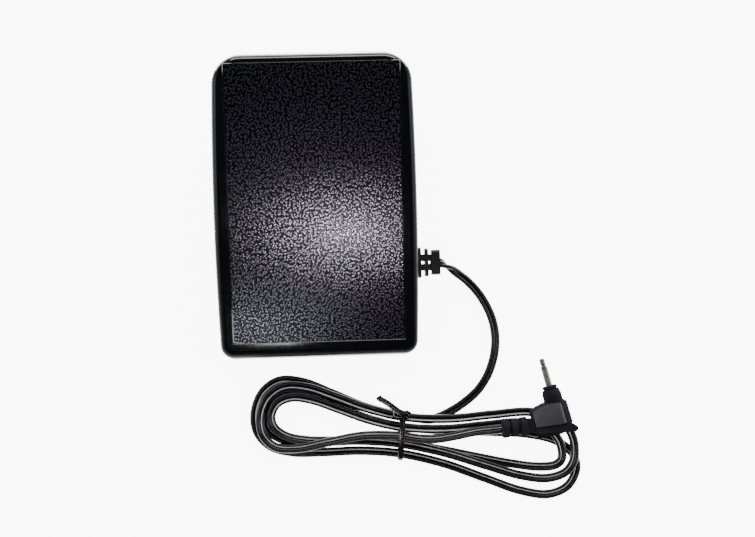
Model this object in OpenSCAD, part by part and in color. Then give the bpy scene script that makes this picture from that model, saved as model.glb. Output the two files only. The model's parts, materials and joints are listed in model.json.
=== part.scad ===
// Foot controller of a sewing machine: an arched cover hinged at the heel over a base tray, with return
// springs, a geared potentiometer, and a flat twin cord that is wound into a tied hank and ends in a plug.
// Millimetres. The origin is on the floor under the middle of the cover. +Y points to the high toe end,
// +X to the side where the cord leaves, +Z up.

/* [Cover] */
// Length from heel to toe
pedal_length = 154; // [145:1:162]
// Width across the middle
pedal_width = 101.5; // [98:0.5:110]
// How far each side bows out at the middle
side_bow = 1.3; // [0:0.1:2]
// How far each side draws in from the middle to the toe
toe_taper = 0.5; // [0:0.1:1]
// Height of the top at the toe end
toe_height = 40; // [39:0.5:44]
// Height of the top at the heel end
heel_height = 18.5; // [17.5:0.5:20]
// Rise of the arch over a straight line from heel to toe
crown = 4.5; // [3.5:0.1:6]
// Plan radius of the two toe corners
toe_radius = 15; // [11:0.5:18]
// Plan radius of the two heel corners
heel_radius = 7.5; // [6:0.5:10]
// Radius of the round along the top edge
edge_round = 4; // [3:0.25:5]
// Wall thickness of the cover
wall = 2.2; // [1.8:0.1:2.6]
// Height of the skirt's edge over the floor at the heel
skirt_heel = 4; // [3:0.25:5]
// Height of the skirt's edge over the floor at the toe
skirt_toe = 16; // [15.5:0.25:18]
// Draft of the side walls over their height
side_draft = 0.9; // [0.5:0.1:1.2]
// Slope of the toe wall over its height
toe_slope = 4.5; // [3:0.25:5]
// Width of the grained field
field_width = 86; // [76:1:90]
// Smooth rim between the field and the toe edge
toe_rim = 10; // [9:0.25:13]
// Smooth rim between the field and the heel edge
heel_rim = 8.1; // [7:0.1:11]
// Height of the field over the rim
field_raise = 0.4; // [0.2:0.1:0.8]

/* [Base] */
// Height of the rubber feet under the tray
foot_height = 2; // [1.5:0.25:2.5]
// Radius of a rubber foot
foot_radius = 6; // [5:0.25:7]
// Depth of the pockets that hold the feet
foot_pocket = 0.8; // [0.5:0.1:1.2]
// Thickness of the tray's floor
floor_thick = 2.5; // [2:0.1:3]
// Thickness of the tray's walls
base_wall = 2; // [1.6:0.1:2.4]
// Gap between the cover's walls and the tray's
wall_gap = 1.1; // [0.9:0.1:1.4]
// Height of the tray's wall at the heel
base_heel = 11; // [10:0.5:12]
// Height of the tray's wall at the toe
base_toe = 26; // [24:0.5:26]

/* [Hinge] */
// Distance of the hinge from the heel edge
hinge_inset = 12.5; // [11.5:0.5:14]
// Height of the hinge over the floor
hinge_height = 9.5; // [9.25:0.25:10]
// Radius of the hinge rod
rod_radius = 2; // [1.5:0.1:2.4]
// Radial clearance of the rod in the cover's ears
rod_clearance = 0.05; // [0.02:0.01:0.1]
// Wall round the rod in ears and lugs
boss_wall = 2.5; // [2:0.1:2.6]
// Thickness of each cover ear
ear_thick = 4.5; // [3.5:0.25:5]
// Travel of the pedal in degrees
pedal_travel = 5; // [4:0.25:5]

/* [Springs] */
// Distance of the springs from the cover's sides
spring_side = 22.75; // [20:0.25:26]
// Distance of the springs from the toe edge
spring_inset = 31.5; // [29:0.5:36]
// Mean radius of the coils
spring_radius = 6.2; // [5.8:0.1:6.6]
// Thickness of the spring wire
spring_wire = 1.3; // [1:0.1:1.4]
// Turns of each spring
spring_turns = 7; // [6:1:8]
// How far the spring seats lie under the cover's ceiling
seat_drop = 2.3; // [2:0.1:3.3]

/* [Gear and potentiometer] */
// Gear module
gear_module = 1; // [0.9:0.05:1.05]
// Teeth of the pinion
pinion_teeth = 12; // [11:1:13]
// Teeth of the sector's full circle
sector_teeth = 160; // [156:1:162]
// Angle of the mesh over the hinge, in degrees
mesh_angle = 6; // [5.5:0.25:6.5]
// Backlash along the pitch circle
backlash = 0.3; // [0.2:0.05:0.4]
// Thickness of the sector plate
sector_thick = 4; // [3:0.5:4.5]
// Width of the pinion's teeth
pinion_width = 6; // [5:0.5:6.5]
// Radius of the potentiometer's shaft
shaft_radius = 2; // [1.6:0.1:2.2]
// Running clearance of the shaft in its bushing
shaft_clearance = 0.05; // [0.02:0.01:0.1]
// Radius of the potentiometer's housing
pot_radius = 7; // [6.5:0.25:7.25]
// Length of the potentiometer's housing
pot_length = 7; // [6:0.5:8]
// Radius of the threaded bushing
bushing_radius = 3.5; // [3:0.1:3.7]
// Length of the threaded bushing
bushing_length = 6; // [5.5:0.25:6.5]

/* [Board and clamp] */
// Length of the circuit board
board_length = 26; // [24:1:28]
// Width of the circuit board
board_width = 18; // [16:1:20]
// Thickness of the circuit board
board_thick = 1.6; // [1:0.1:2]
// Distance of the cord's exit behind the middle of the cover
exit_offset = 30.5; // [28:0.5:33]
// Height of the cord's middle where it leaves the tray
exit_height = 8.5; // [8.25:0.25:9]

/* [Cord and plug] */
// Width of the flat twin cord
cord_width = 4.6; // [4:0.1:4.8]
// Thickness of the flat twin cord
cord_thick = 2.3; // [2:0.1:2.4]
// How far the strain relief stands out from the cover
boot_reach = 11.2; // [9:0.2:12]
// Width of the strain relief
boot_width = 15.6; // [14:0.2:16.4]
// Radius of the plug's metal sleeve
plug_radius = 1.75; // [1.5:0.05:2]
// Length of the plug's metal sleeve
sleeve_length = 9.2; // [8:0.2:11]
// Thickness of the plug's moulded body
plug_thick = 10.6; // [9:0.2:12]

/* [Hidden] */
$fn = 64;

half_l = pedal_length / 2;
half_w = pedal_width / 2;
eps = 0.01;

// Arch, skirt line and tray wall as heights over a place along Y.
function top_z(y) =
    (toe_height + heel_height) / 2 + crown + (toe_height - heel_height) / 2 * y / half_l
    - crown * pow(y / half_l, 2);
function inner_z(y) = top_z(y) - wall;
function mid_wall_z(y) = top_z(y) - wall / 2;
function along_line(low, high, y) = low + (high - low) * (y + half_l) / pedal_length;
function skirt_z(y) = along_line(skirt_heel, skirt_toe, y);
function base_wall_z(y) = along_line(base_heel, base_toe, y);
function side_x(y) = half_w - side_bow * pow(y / half_l, 2) - toe_taper * y / half_l;
function mix(a, b, t) = a + (b - a) * t;

// Places that several pieces share.
floor_z = foot_height + floor_thick;
hinge_y = -half_l + hinge_inset;
hinge_z = hinge_height;
boss_radius = rod_radius + boss_wall;
base_inset = wall + side_draft + wall_gap;
base_toe_gap = toe_slope / 2;
tray_inset = base_inset + base_wall;
exit_y = -exit_offset;
exit_x = side_x(exit_y);
base_side_x = exit_x - base_inset;
tray_side_x = exit_x - tray_inset;

// Plan outline from toe to heel on the +X side, drawn in by `inset` and by `toe_in` more at the toe.
toe_steps = 10;
heel_steps = 8;
side_steps = 16;
least_radius = 2;
function corner(cx, cy, r, from, to, steps) =
    [for (i = [0 : steps]) let(a = mix(from, to, i / steps)) [cx + r * cos(a), cy + r * sin(a)]];
function half_outline(inset, toe_in = 0) =
    let(
        toe_r = max(toe_radius - inset, least_radius),
        heel_r = max(heel_radius - inset, least_radius),
        toe_cy = half_l - inset - toe_in - toe_r,
        heel_cy = -half_l + inset + heel_r
    )
    concat(
        corner(side_x(toe_cy) - inset - toe_r, toe_cy, toe_r, 90, 0, toe_steps),
        [for (i = [1 : side_steps - 1]) let(y = mix(toe_cy, heel_cy, i / side_steps)) [side_x(y) - inset, y]],
        corner(side_x(heel_cy) - inset - heel_r, heel_cy, heel_r, 0, -90, heel_steps)
    );
function mirrored(half) = [for (i = [len(half) - 1 : -1 : 0]) [-half[i][0], half[i][1]]];
function outline(inset, toe_in = 0) =
    let(half = half_outline(inset, toe_in)) concat(half, mirrored(half));

// A skin of the cover: a skirt ring, a ring at the top of the wall and rings round the edge. Each ring's
// left and right points pair up at one Y, so flat strips close the skin at the bottom and over the arch.
function edge_angles(steps) = [for (i = [0 : steps]) 90 * i / steps];
function skin_ring(inset, toe_in, drop) = [for (p = outline(inset, toe_in)) [p[0], p[1], top_z(p[1]) - drop]];
function skin_rings(shift, round_r, drop, steps, below) = concat(
    [[for (p = outline(shift)) [p[0], p[1], skirt_z(p[1]) - below]]],
    [for (a = edge_angles(steps))
        skin_ring(shift + side_draft + round_r * (1 - cos(a)), toe_slope, drop + round_r * (1 - sin(a)))]
);
function strip(at, i, n) = [[at + i, at + i + 1, at + n - 2 - i], [at + i, at + n - 2 - i, at + n - 1 - i]];
function flipped(faces) = [for (f = faces) [f[2], f[1], f[0]]];
module skin(shift, round_r, drop, steps, below) {
    rings = skin_rings(shift, round_r, drop, steps, below);
    n = len(rings[0]);
    last = (len(rings) - 1) * n;
    walls = [for (k = [0 : len(rings) - 2], i = [0 : n - 1])
        let(a = k * n + i, b = k * n + (i + 1) % n)
        each [[a, b, a + n], [b, b + n, a + n]]];
    bottom = [for (i = [0 : n / 2 - 2]) each strip(0, i, n)];
    top = [for (i = [0 : n / 2 - 2]) each strip(last, i, n)];
    polyhedron(points = [for (r = rings) each r], faces = concat(walls, flipped(bottom), top));
}

// Builders that several pieces use.
module x_cylinder(r, x0, x1, y, z) {
    translate([x0, y, z]) rotate([0, 90, 0]) cylinder(r = r, h = x1 - x0);
}
// Extrudes a drawing whose first axis is Y and second is Z from x0 to x1.
module x_prism(x0, x1) {
    translate([x0, 0, 0]) rotate([90, 0, 90]) linear_extrude(x1 - x0) children();
}
module block(x0, x1, y0, y1, z0, z1) {
    translate([x0, y0, z0]) cube([x1 - x0, y1 - y0, z1 - z0]);
}
function round_rect(w, h, r, steps = 6) = concat(
    corner(w / 2 - r, h / 2 - r, r, 90, 0, steps), corner(w / 2 - r, -h / 2 + r, r, 0, -90, steps),
    corner(-w / 2 + r, -h / 2 + r, r, -90, -180, steps), corner(-w / 2 + r, h / 2 - r, r, 180, 90, steps)
);

// Hinge, stops and springs.
ear_gap = 0.5;
rod_end_gap = 0.4;
lug_length = 4.3;
lug_x = half_w - side_bow - tray_inset - lug_length;
ear_x = lug_x - ear_gap - ear_thick;
rod_half = side_x(hinge_y) - base_inset - rod_end_gap;
ear_bore = rod_radius + rod_clearance;
spring_y = half_l - spring_inset;
spring_offset = half_w - spring_side;
seat_height = inner_z(spring_y) - seat_drop;
cup_wall = 1.8;
cup_gap = 0.65;
cup_depth = 4;
cup_inner = spring_radius + spring_wire / 2 + cup_gap;
post_radius = 4;
stop_gap = 0.5;
post_top = seat_height - (spring_y - hinge_y) * sin(pedal_travel) - post_radius * sin(pedal_travel) - stop_gap;

// Catch hooks at the toe hold the cover down against the springs.
hook_x = 16;
hook_width = 9;
hook_thick = 2.4;
hook_gap = 0.3;
hook_clear = 2.5;
window_side_gap = 1;
window_top = 20;
window_bottom = 5;
base_toe_y = half_l - base_inset - base_toe_gap;
hook_face_y = base_toe_y - base_wall - hook_clear;
lip_thick = 2.4;

// Sector and pinion. Angles are about the hinge, from +Y up.
sector_pitch = gear_module * sector_teeth / 2;
pinion_pitch = gear_module * pinion_teeth / 2;
shaft_distance = sector_pitch + pinion_pitch;
shaft_y = hinge_y + shaft_distance * cos(mesh_angle);
shaft_z = hinge_z + shaft_distance * sin(mesh_angle);
pressure_angle = 20;
sector_addendum = 0.75 * gear_module;
sector_dedendum = 1.3 * gear_module;
pinion_addendum = gear_module;
pinion_dedendum = 1.15 * gear_module;
sector_bar = 7.5;
first_tooth = -1;
last_tooth = 4;
function involute(a) = tan(a) * 180 / PI - a;
function tooth_half(teeth, rho) =
    let(base_r = gear_module * teeth / 2 * cos(pressure_angle))
    90 / teeth - backlash / 4 / (gear_module * teeth / 2) * 180 / PI
    + involute(pressure_angle) - involute(acos(min(1, base_r / rho)));
function tooth(teeth, root_r, tip_r, at, steps = 5) =
    let(radii = [for (i = [0 : steps]) mix(root_r, tip_r, i / steps)])
    concat(
        [for (r = radii) let(a = at - tooth_half(teeth, r)) r * [cos(a), sin(a)]],
        [for (i = [steps : -1 : 0]) let(r = radii[i], a = at + tooth_half(teeth, r)) r * [cos(a), sin(a)]]
    );
function polar(r, a) = [r * cos(a), r * sin(a)];

// Flange that carries the sector, and the pad on the cover that it is screwed to.
flange_thick = 2.5;
flange_half_x = 9;
flange_reach = 57;
flange_length = 12;
pad_drop = 3.6;
flange_y0 = hinge_y + flange_reach;
flange_y1 = flange_y0 + flange_length;
pad_z = inner_z(flange_y0) - pad_drop;
sector_screw_x = 6;
sector_screw_y = (flange_y0 + flange_y1) / 2;
small_shank = 1.3;
small_head = 2.4;
small_head_height = 1.5;
small_screw_length = 7;
screw_clearance = 0.15;
screw_end_gap = 0.3;
pilot_depth = 5;
pilot_bite = 1;

// Potentiometer along X, from the pinion to the terminals.
pinion_hub = 2;
pinion_x0 = -pinion_width / 2;
pinion_x1 = pinion_width / 2;
hub_x = pinion_x1 + pinion_hub;
bracket_thick = 1.5;
washer_thick = 0.6;
nut_thick = 2.2;
nut_room = 2.5;
bushing_x = hub_x + nut_room;
pot_x = bushing_x + bushing_length;
bracket_x = pot_x - bracket_thick;
pot_end = pot_x + pot_length;
wafer_thick = 1.2;
can_wall = 0.6;
shaft_flat = 0.5;
shaft_inset = 2;
hub_thick = 1.4;
wiper_thick = 0.8;
wiper_half = 1;
wiper_inset = 2.2;
bracket_rise = 2;
bracket_foot_z = floor_z + bracket_rise;
terminal_thick = 0.5;
terminal_half = 0.8;
screw_room = 0.6;
foot_edge = 3.2;
bracket_foot_x = pot_end + wafer_thick + terminal_thick + small_head + screw_room;
bracket_foot_end = bracket_foot_x + foot_edge;
bracket_rim = 0.5;
bracket_half = pot_radius + bracket_rim;
bracket_screw_inset = 3;
terminal_gap = 4;
terminal_reach = 1.6;
terminal_low = shaft_z - pot_radius - terminal_reach;
wafer_half = 6;
wafer_tail = 2;

// Board and its parts.
board_x = 4;
board_y = -22;
board_rise = 3.5;
board_z = floor_z + board_rise;
board_top = board_z + board_thick;
board_boss = 2.8;
board_screw_inset = 3;

// Cord clamp inside the tray.
clamp_inset = 10;
clamp_x = tray_side_x - clamp_inset;
clamp_width = 5;
clamp_thick = 2.6;
clamp_half = 9;
clamp_screw_y = 6;
cord_low = exit_height - cord_thick / 2;
cord_high = exit_height + cord_thick / 2;
cord_stub = 4;
inner_cord_end = clamp_x - cord_stub;

// Strain relief.
boot_height = 7;
neck_width = 10;
flange_lip = 2;
flange_width = neck_width + 2 * flange_lip;
flange_x = side_x(exit_y - flange_width / 2) - tray_inset;
plate_x = side_x(exit_y + boot_width / 2) - base_inset;
notch_side = 1.6;
notch_clear = 0.8;
notch_top = exit_height + boot_height / 2 + (exit_y + notch_side + boot_width / 2 - hinge_y) * sin(pedal_travel)
    + notch_clear;
boot_start = exit_x + 0.2;
boot_end = boot_start + boot_reach;

module hinge_ear(side) {
    x0 = side > 0 ? ear_x : -ear_x - ear_thick;
    difference() {
        union() {
            x_cylinder(boss_radius, x0, x0 + ear_thick, hinge_y, hinge_z);
            x_prism(x0, x0 + ear_thick)
                polygon([
                    [hinge_y - boss_radius, hinge_z], [hinge_y + boss_radius, hinge_z],
                    [hinge_y + boss_radius, mid_wall_z(hinge_y + boss_radius)],
                    [hinge_y - boss_radius, mid_wall_z(hinge_y - boss_radius)]
                ]);
        }
        x_cylinder(ear_bore, x0 - 1, x0 + ear_thick + 1, hinge_y, hinge_z);
    }
}

module spring_cup(side) {
    translate([side * spring_offset, spring_y, 0]) difference() {
        translate([0, 0, seat_height - cup_depth])
            cylinder(r = cup_inner + cup_wall, h = mid_wall_z(spring_y) - seat_height + cup_depth);
        translate([0, 0, seat_height - cup_depth - 1]) cylinder(r = cup_inner, h = cup_depth + 1);
    }
}

module catch_hook(side) {
    x0 = side * hook_x - hook_width / 2;
    lip_top = window_top - hook_gap;
    x_prism(x0, x0 + hook_width)
        polygon([
            [hook_face_y - hook_thick, lip_top - lip_thick], [base_toe_y - 0.4, lip_top - lip_thick],
            [base_toe_y - 0.4, lip_top], [hook_face_y, lip_top],
            [hook_face_y, mid_wall_z(hook_face_y)],
            [hook_face_y - hook_thick, mid_wall_z(hook_face_y - hook_thick)]
        ]);
}

module pedal_cover() {
    color([0.06, 0.06, 0.075]) {
        difference() {
            union() {
                skin(0, edge_round, 0, 5, 0);
                x_prism(-field_width / 2, field_width / 2) polygon(field_profile());
            }
            skin(wall, max(edge_round - wall, 1), wall, 3, 1);
            translate([exit_x - 6, exit_y, exit_height]) rotate([90, 0, 90]) linear_extrude(12)
                polygon(round_rect(boot_width + 2 * notch_side, 2 * (notch_top - exit_height), 2));
        }
        for (side = [-1, 1]) {
            hinge_ear(side);
            spring_cup(side);
            catch_hook(side);
        }
        sector_pad();
    }
}
field_steps = 24;
function field_y(i) = mix(-half_l + heel_rim, half_l - toe_rim, i / field_steps);
function field_profile() = concat(
    [for (i = [0 : field_steps]) [field_y(i), top_z(field_y(i)) + field_raise]],
    [for (i = [field_steps : -1 : 0]) [field_y(i), mid_wall_z(field_y(i))]]
);

// Pad under the cover that the sector's flange is screwed to.
module sector_pad() {
    difference() {
        x_prism(-flange_half_x, flange_half_x)
            polygon([
                [flange_y0, pad_z], [flange_y1, pad_z], [flange_y1, mid_wall_z(flange_y1)],
                [flange_y0, mid_wall_z(flange_y0)]
            ]);
        for (x = [-sector_screw_x, sector_screw_x])
            translate([x, sector_screw_y, pad_z - 1])
                cylinder(r = small_shank, h = 1 + small_screw_length - flange_thick);
    }
}

module base_tray() {
    color([0.09, 0.09, 0.1]) {
        difference() {
            union() {
                difference() {
                    translate([0, 0, foot_height]) linear_extrude(base_toe)
                        polygon(outline(base_inset, base_toe_gap));
                    translate([0, 0, floor_z]) linear_extrude(base_toe)
                        polygon(outline(tray_inset, base_toe_gap));
                }
                tray_ribs();
                for (side = [-1, 1]) {
                    hinge_lug(side);
                    translate([side * spring_offset, spring_y, floor_z - eps])
                        cylinder(r = post_radius, h = post_top - floor_z);
                }
                screw_bosses(board_screw_spots(), board_z);
                screw_bosses(bracket_screw_spots(), bracket_foot_z);
                screw_bosses(clamp_screw_spots(), cord_high);
                block(clamp_x, clamp_x + clamp_width, exit_y - cord_width / 2, exit_y + cord_width / 2,
                    floor_z - eps, cord_low);
            }
            above_walls();
            for (side = [-1, 1]) {
                x0 = side * hook_x - hook_width / 2 - window_side_gap;
                block(x0, x0 + hook_width + 2 * window_side_gap, base_toe_y - base_wall - 1, base_toe_y + 1,
                    window_bottom, window_top);
            }
            x_cylinder(rod_radius, -half_w, half_w, hinge_y, hinge_z);
            block(base_side_x - base_wall - 1, base_side_x + 1, exit_y - neck_width / 2,
                exit_y + neck_width / 2, exit_height - neck_height / 2, base_toe);
            for (spot = foot_spots)
                translate([spot[0], spot[1], foot_height - 1])
                    cylinder(r = foot_radius + 0.1, h = 1 + foot_pocket);
            screw_holes(board_screw_spots(), board_z);
            screw_holes(bracket_screw_spots(), bracket_foot_z);
            screw_holes(clamp_screw_spots(), cord_high);
        }
    }
}
neck_height = 6.4;
foot_inset_x = 13;
foot_inset_heel = 14;
foot_inset_toe = 20;
foot_spots = [
    [-half_w + foot_inset_x, -half_l + foot_inset_heel], [half_w - foot_inset_x, -half_l + foot_inset_heel],
    [-half_w + foot_inset_x, half_l - foot_inset_toe], [half_w - foot_inset_x, half_l - foot_inset_toe]
];
function board_screw_spots() = [
    [board_x + board_screw_inset, board_y + board_screw_inset],
    [board_x + board_length - board_screw_inset, board_y + board_width - board_screw_inset]
];
function bracket_screw_spots() =
    [for (s = [-1, 1]) [bracket_foot_x, shaft_y + s * (bracket_half - bracket_screw_inset)]];
function clamp_screw_spots() = [for (s = [-1, 1]) [clamp_x + clamp_width / 2, exit_y + s * clamp_screw_y]];

// Bosses from the tray's floor to `top`, and their blind pilot holes.
module screw_bosses(spots, top) {
    for (p = spots) translate([p[0], p[1], floor_z - eps]) cylinder(r = board_boss, h = top - floor_z + eps);
}
module screw_holes(spots, top) {
    for (p = spots)
        translate([p[0], p[1], top - boss_hole(top)]) cylinder(r = small_shank, h = boss_hole(top) + 1);
}
function boss_hole(top) = min(pilot_depth, top - floor_z + pilot_bite);

module tray_ribs() {
    rib = 1.6;
    rib_height = 1.8;
    for (x = [-spring_offset, spring_offset])
        block(x - rib / 2, x + rib / 2, hinge_y + 8, spring_y - cup_inner - 1, floor_z - eps,
            floor_z + rib_height);
}

module hinge_lug(side) {
    x0 = side > 0 ? lug_x : -side_x(hinge_y) + base_inset + eps;
    x1 = side > 0 ? side_x(hinge_y) - base_inset - eps : -lug_x;
    x_cylinder(boss_radius, x0, x1, hinge_y, hinge_z);
    block(x0, x1, hinge_y - boss_radius, hinge_y + boss_radius, floor_z - eps, hinge_z);
}

// Everything over the slanted edge of the tray's walls.
module above_walls() {
    x_prism(-half_w, half_w)
        polygon([
            [-half_l, base_wall_z(-half_l)], [half_l, base_wall_z(half_l)],
            [half_l, base_toe + foot_height + 5], [-half_l, base_toe + foot_height + 5]
        ]);
}

module hinge_rod() {
    color([0.72, 0.73, 0.75]) x_cylinder(rod_radius, -rod_half, rod_half, hinge_y, hinge_z);
}

// Compression spring as one tube of six sides; its end turns lie closer together.
spring_sides = 6;
curl_rings = 8;
spring_end_gap = 0.1;
spring_low = floor_z + spring_wire / 2 + spring_end_gap;
spring_high = seat_height - spring_wire / 2 - spring_end_gap;
end_pitch = spring_wire + 0.5;
function coil_z(turn) =
    turn <= 1 ? spring_low + end_pitch * turn
    : turn >= spring_turns - 1 ? spring_high - end_pitch * (spring_turns - turn)
    : mix(spring_low + end_pitch, spring_high - end_pitch, (turn - 1) / (spring_turns - 2));
module tube_faces(points, rings, sides) {
    walls = [for (k = [0 : rings - 2], i = [0 : sides - 1])
        let(a = k * sides + i, b = k * sides + (i + 1) % sides)
        each [[a, b, a + sides], [b, b + sides, a + sides]]];
    first = [for (i = [1 : sides - 2]) [0, i + 1, i]];
    end = (rings - 1) * sides;
    last = [for (i = [1 : sides - 2]) [end, end + i, end + i + 1]];
    polyhedron(points = points, faces = concat(walls, first, last));
}
module return_spring(side) {
    rings = spring_turns * curl_rings + 1;
    points = [for (k = [0 : rings - 1], i = [0 : spring_sides - 1])
        let(turn = k / curl_rings, a = 360 * turn, b = -360 * i / spring_sides,
            r = spring_radius + spring_wire / 2 * cos(b))
        [r * cos(a), r * sin(a), coil_z(turn) + spring_wire / 2 * sin(b)]];
    color([0.7, 0.71, 0.73]) translate([side * spring_offset, spring_y, 0])
        tube_faces(points, rings, spring_sides);
}
module return_spring_left() { return_spring(-1); }
module return_spring_right() { return_spring(1); }

module drive_sector() {
    root = sector_pitch - sector_dedendum;
    tip = sector_pitch + sector_addendum;
    step = 360 / sector_teeth;
    low = mesh_angle + (first_tooth - 0.7) * step;
    high = mesh_angle + (last_tooth + 0.7) * step;
    inner = sector_pitch - sector_bar;
    color([0.92, 0.91, 0.86]) difference() {
        union() {
            x_prism(-sector_thick / 2, sector_thick / 2) translate([hinge_y, hinge_z]) polygon(concat(
                [polar(root, low)],
                [for (k = [first_tooth : last_tooth])
                    each tooth(sector_teeth, root, tip, mesh_angle + k * step)],
                [polar(root, high), polar(inner, high), polar(inner, (low + high) / 2), polar(inner, low)]
            ));
            x_prism(-sector_thick / 2, sector_thick / 2) polygon([
                [flange_y0, pad_z - eps], [flange_y1, pad_z - eps],
                [hinge_y, hinge_z] + polar(inner + 1, high),
                [hinge_y, hinge_z] + polar(inner + 1, mix(low, high, 0.35)),
                [flange_y0, pad_z - flange_thick]
            ]);
            block(-flange_half_x, flange_half_x, flange_y0, flange_y1, pad_z - flange_thick, pad_z);
        }
        for (x = [-sector_screw_x, sector_screw_x])
            translate([x, sector_screw_y, pad_z - flange_thick - 1])
                cylinder(r = small_shank + screw_clearance, h = 9);
    }
}

// A pan-head screw whose shank runs up (+1) or down (-1) from the face that its head bears on.
module small_screw(shank, way) {
    mirror([0, 0, way > 0 ? 1 : 0]) rotate_extrude() polygon(concat(
        [[0, -shank], [small_shank, -shank], [small_shank, 0], [small_head, 0]],
        corner(small_head - 0.7, small_head_height - 0.7, 0.7, 0, 90, 6),
        [[0, small_head_height]]
    ));
}
module sector_screws() {
    color([0.75, 0.76, 0.78]) for (x = [-sector_screw_x, sector_screw_x])
        translate([x, sector_screw_y, pad_z - flange_thick]) small_screw(small_screw_length - 0.5, 1);
}

// The shaft's round less its flat, as a cutter for bores and as the shaft itself.
module d_shaft(x0, x1) {
    difference() {
        x_cylinder(shaft_radius, x0, x1, shaft_y, shaft_z);
        block(x0 - 1, x1 + 1, shaft_y - shaft_radius, shaft_y + shaft_radius,
            shaft_z + shaft_radius - shaft_flat, shaft_z + shaft_radius + 1);
    }
}

module pinion() {
    root = pinion_pitch - pinion_dedendum;
    tip = pinion_pitch + pinion_addendum;
    step = 360 / pinion_teeth;
    phase = mesh_angle + 180 + step / 2;
    color([0.9, 0.89, 0.82]) difference() {
        union() {
            x_prism(pinion_x0, pinion_x1) translate([shaft_y, shaft_z]) polygon(
                [for (k = [0 : pinion_teeth - 1]) each tooth(pinion_teeth, root, tip, phase + k * step)]);
            x_cylinder(root - 0.9, pinion_x1 - eps, hub_x, shaft_y, shaft_z);
        }
        d_shaft(pinion_x0 - 1, hub_x + 1);
    }
}

module pot_shaft() {
    color([0.78, 0.79, 0.8]) {
        d_shaft(pinion_x0 - 1, hub_x);
        x_cylinder(shaft_radius, hub_x - eps, pot_end - shaft_inset, shaft_y, shaft_z);
    }
}

module pot_wiper() {
    color([0.85, 0.7, 0.3]) difference() {
        union() {
            x_cylinder(shaft_radius + 1.2, pot_end - shaft_inset - hub_thick, pot_end - shaft_inset, shaft_y,
                shaft_z);
            x_prism(pot_end - shaft_inset - wiper_thick, pot_end - shaft_inset) polygon([
                [shaft_y - wiper_half, shaft_z], [shaft_y + wiper_half, shaft_z],
                [shaft_y + wiper_half + 0.4, shaft_z + pot_radius - wiper_inset],
                [shaft_y - wiper_half - 0.4, shaft_z + pot_radius - wiper_inset]
            ]);
        }
        x_cylinder(shaft_radius, pot_end - 5, pot_end, shaft_y, shaft_z);
    }
}

module pot_housing() {
    color([0.7, 0.71, 0.72]) difference() {
        union() {
            x_cylinder(pot_radius, pot_x, pot_end, shaft_y, shaft_z);
            x_cylinder(bushing_radius, bushing_x, pot_x + eps, shaft_y, shaft_z);
        }
        x_cylinder(pot_radius - can_wall, pot_x + 1, pot_end + 1, shaft_y, shaft_z);
        x_cylinder(shaft_radius + shaft_clearance, bushing_x - 1, pot_x + 2, shaft_y, shaft_z);
    }
}

module pot_wafer() {
    color([0.45, 0.26, 0.12]) {
        x_cylinder(pot_radius - 0.2, pot_end, pot_end + wafer_thick, shaft_y, shaft_z);
        block(pot_end, pot_end + wafer_thick, shaft_y - wafer_half, shaft_y + wafer_half,
            shaft_z - pot_radius - wafer_tail, shaft_z - wafer_tail);
    }
}

module pot_terminals() {
    color([0.82, 0.8, 0.74]) for (k = [-1 : 1])
        block(pot_end + wafer_thick, pot_end + wafer_thick + terminal_thick,
            shaft_y + k * terminal_gap - terminal_half, shaft_y + k * terminal_gap + terminal_half,
            terminal_low, shaft_z - pot_radius + wafer_tail);
}

module ring_x(outer, inner, x0, x1) {
    difference() {
        x_cylinder(outer, x0, x1, shaft_y, shaft_z);
        x_cylinder(inner, x0 - 1, x1 + 1, shaft_y, shaft_z);
    }
}
module pot_washer() {
    color([0.8, 0.8, 0.8]) ring_x(bushing_radius + 1.8, bushing_radius, bracket_x - washer_thick, bracket_x);
}
module pot_nut() {
    x1 = bracket_x - washer_thick;
    color([0.74, 0.72, 0.66]) difference() {
        translate([x1 - nut_thick, shaft_y, shaft_z]) rotate([0, 90, 0])
            cylinder(r = bushing_radius + 2, h = nut_thick, $fn = 6);
        x_cylinder(bushing_radius, x1 - nut_thick - 1, x1 + 1, shaft_y, shaft_z);
    }
}

module pot_bracket() {
    color([0.66, 0.67, 0.68]) difference() {
        union() {
            x_cylinder(bracket_half, bracket_x, pot_x, shaft_y, shaft_z);
            block(bracket_x, pot_x, shaft_y - bracket_half, shaft_y + bracket_half, bracket_foot_z, shaft_z);
            block(bracket_x, bracket_foot_end, shaft_y - bracket_half, shaft_y + bracket_half, bracket_foot_z,
                bracket_foot_z + bracket_thick);
        }
        x_cylinder(bushing_radius, bracket_x - 1, pot_x + 1, shaft_y, shaft_z);
        for (p = bracket_screw_spots())
            translate([p[0], p[1], bracket_foot_z - 1]) cylinder(r = small_shank + screw_clearance, h = 4);
    }
}
module bracket_screws() {
    color([0.75, 0.76, 0.78]) for (p = bracket_screw_spots())
        translate([p[0], p[1], bracket_foot_z + bracket_thick])
            small_screw(bracket_thick + boss_hole(bracket_foot_z) - screw_end_gap, -1);
}

module circuit_board() {
    color([0.1, 0.35, 0.2]) difference() {
        block(board_x, board_x + board_length, board_y, board_y + board_width, board_z, board_top);
        for (p = board_screw_spots())
            translate([p[0], p[1], board_z - 1])
                cylinder(r = small_shank + screw_clearance, h = board_thick + 2);
    }
}
module board_screws() {
    color([0.75, 0.76, 0.78]) for (p = board_screw_spots())
        translate([p[0], p[1], board_top]) small_screw(board_thick + boss_hole(board_z) - screw_end_gap, -1);
}

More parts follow.
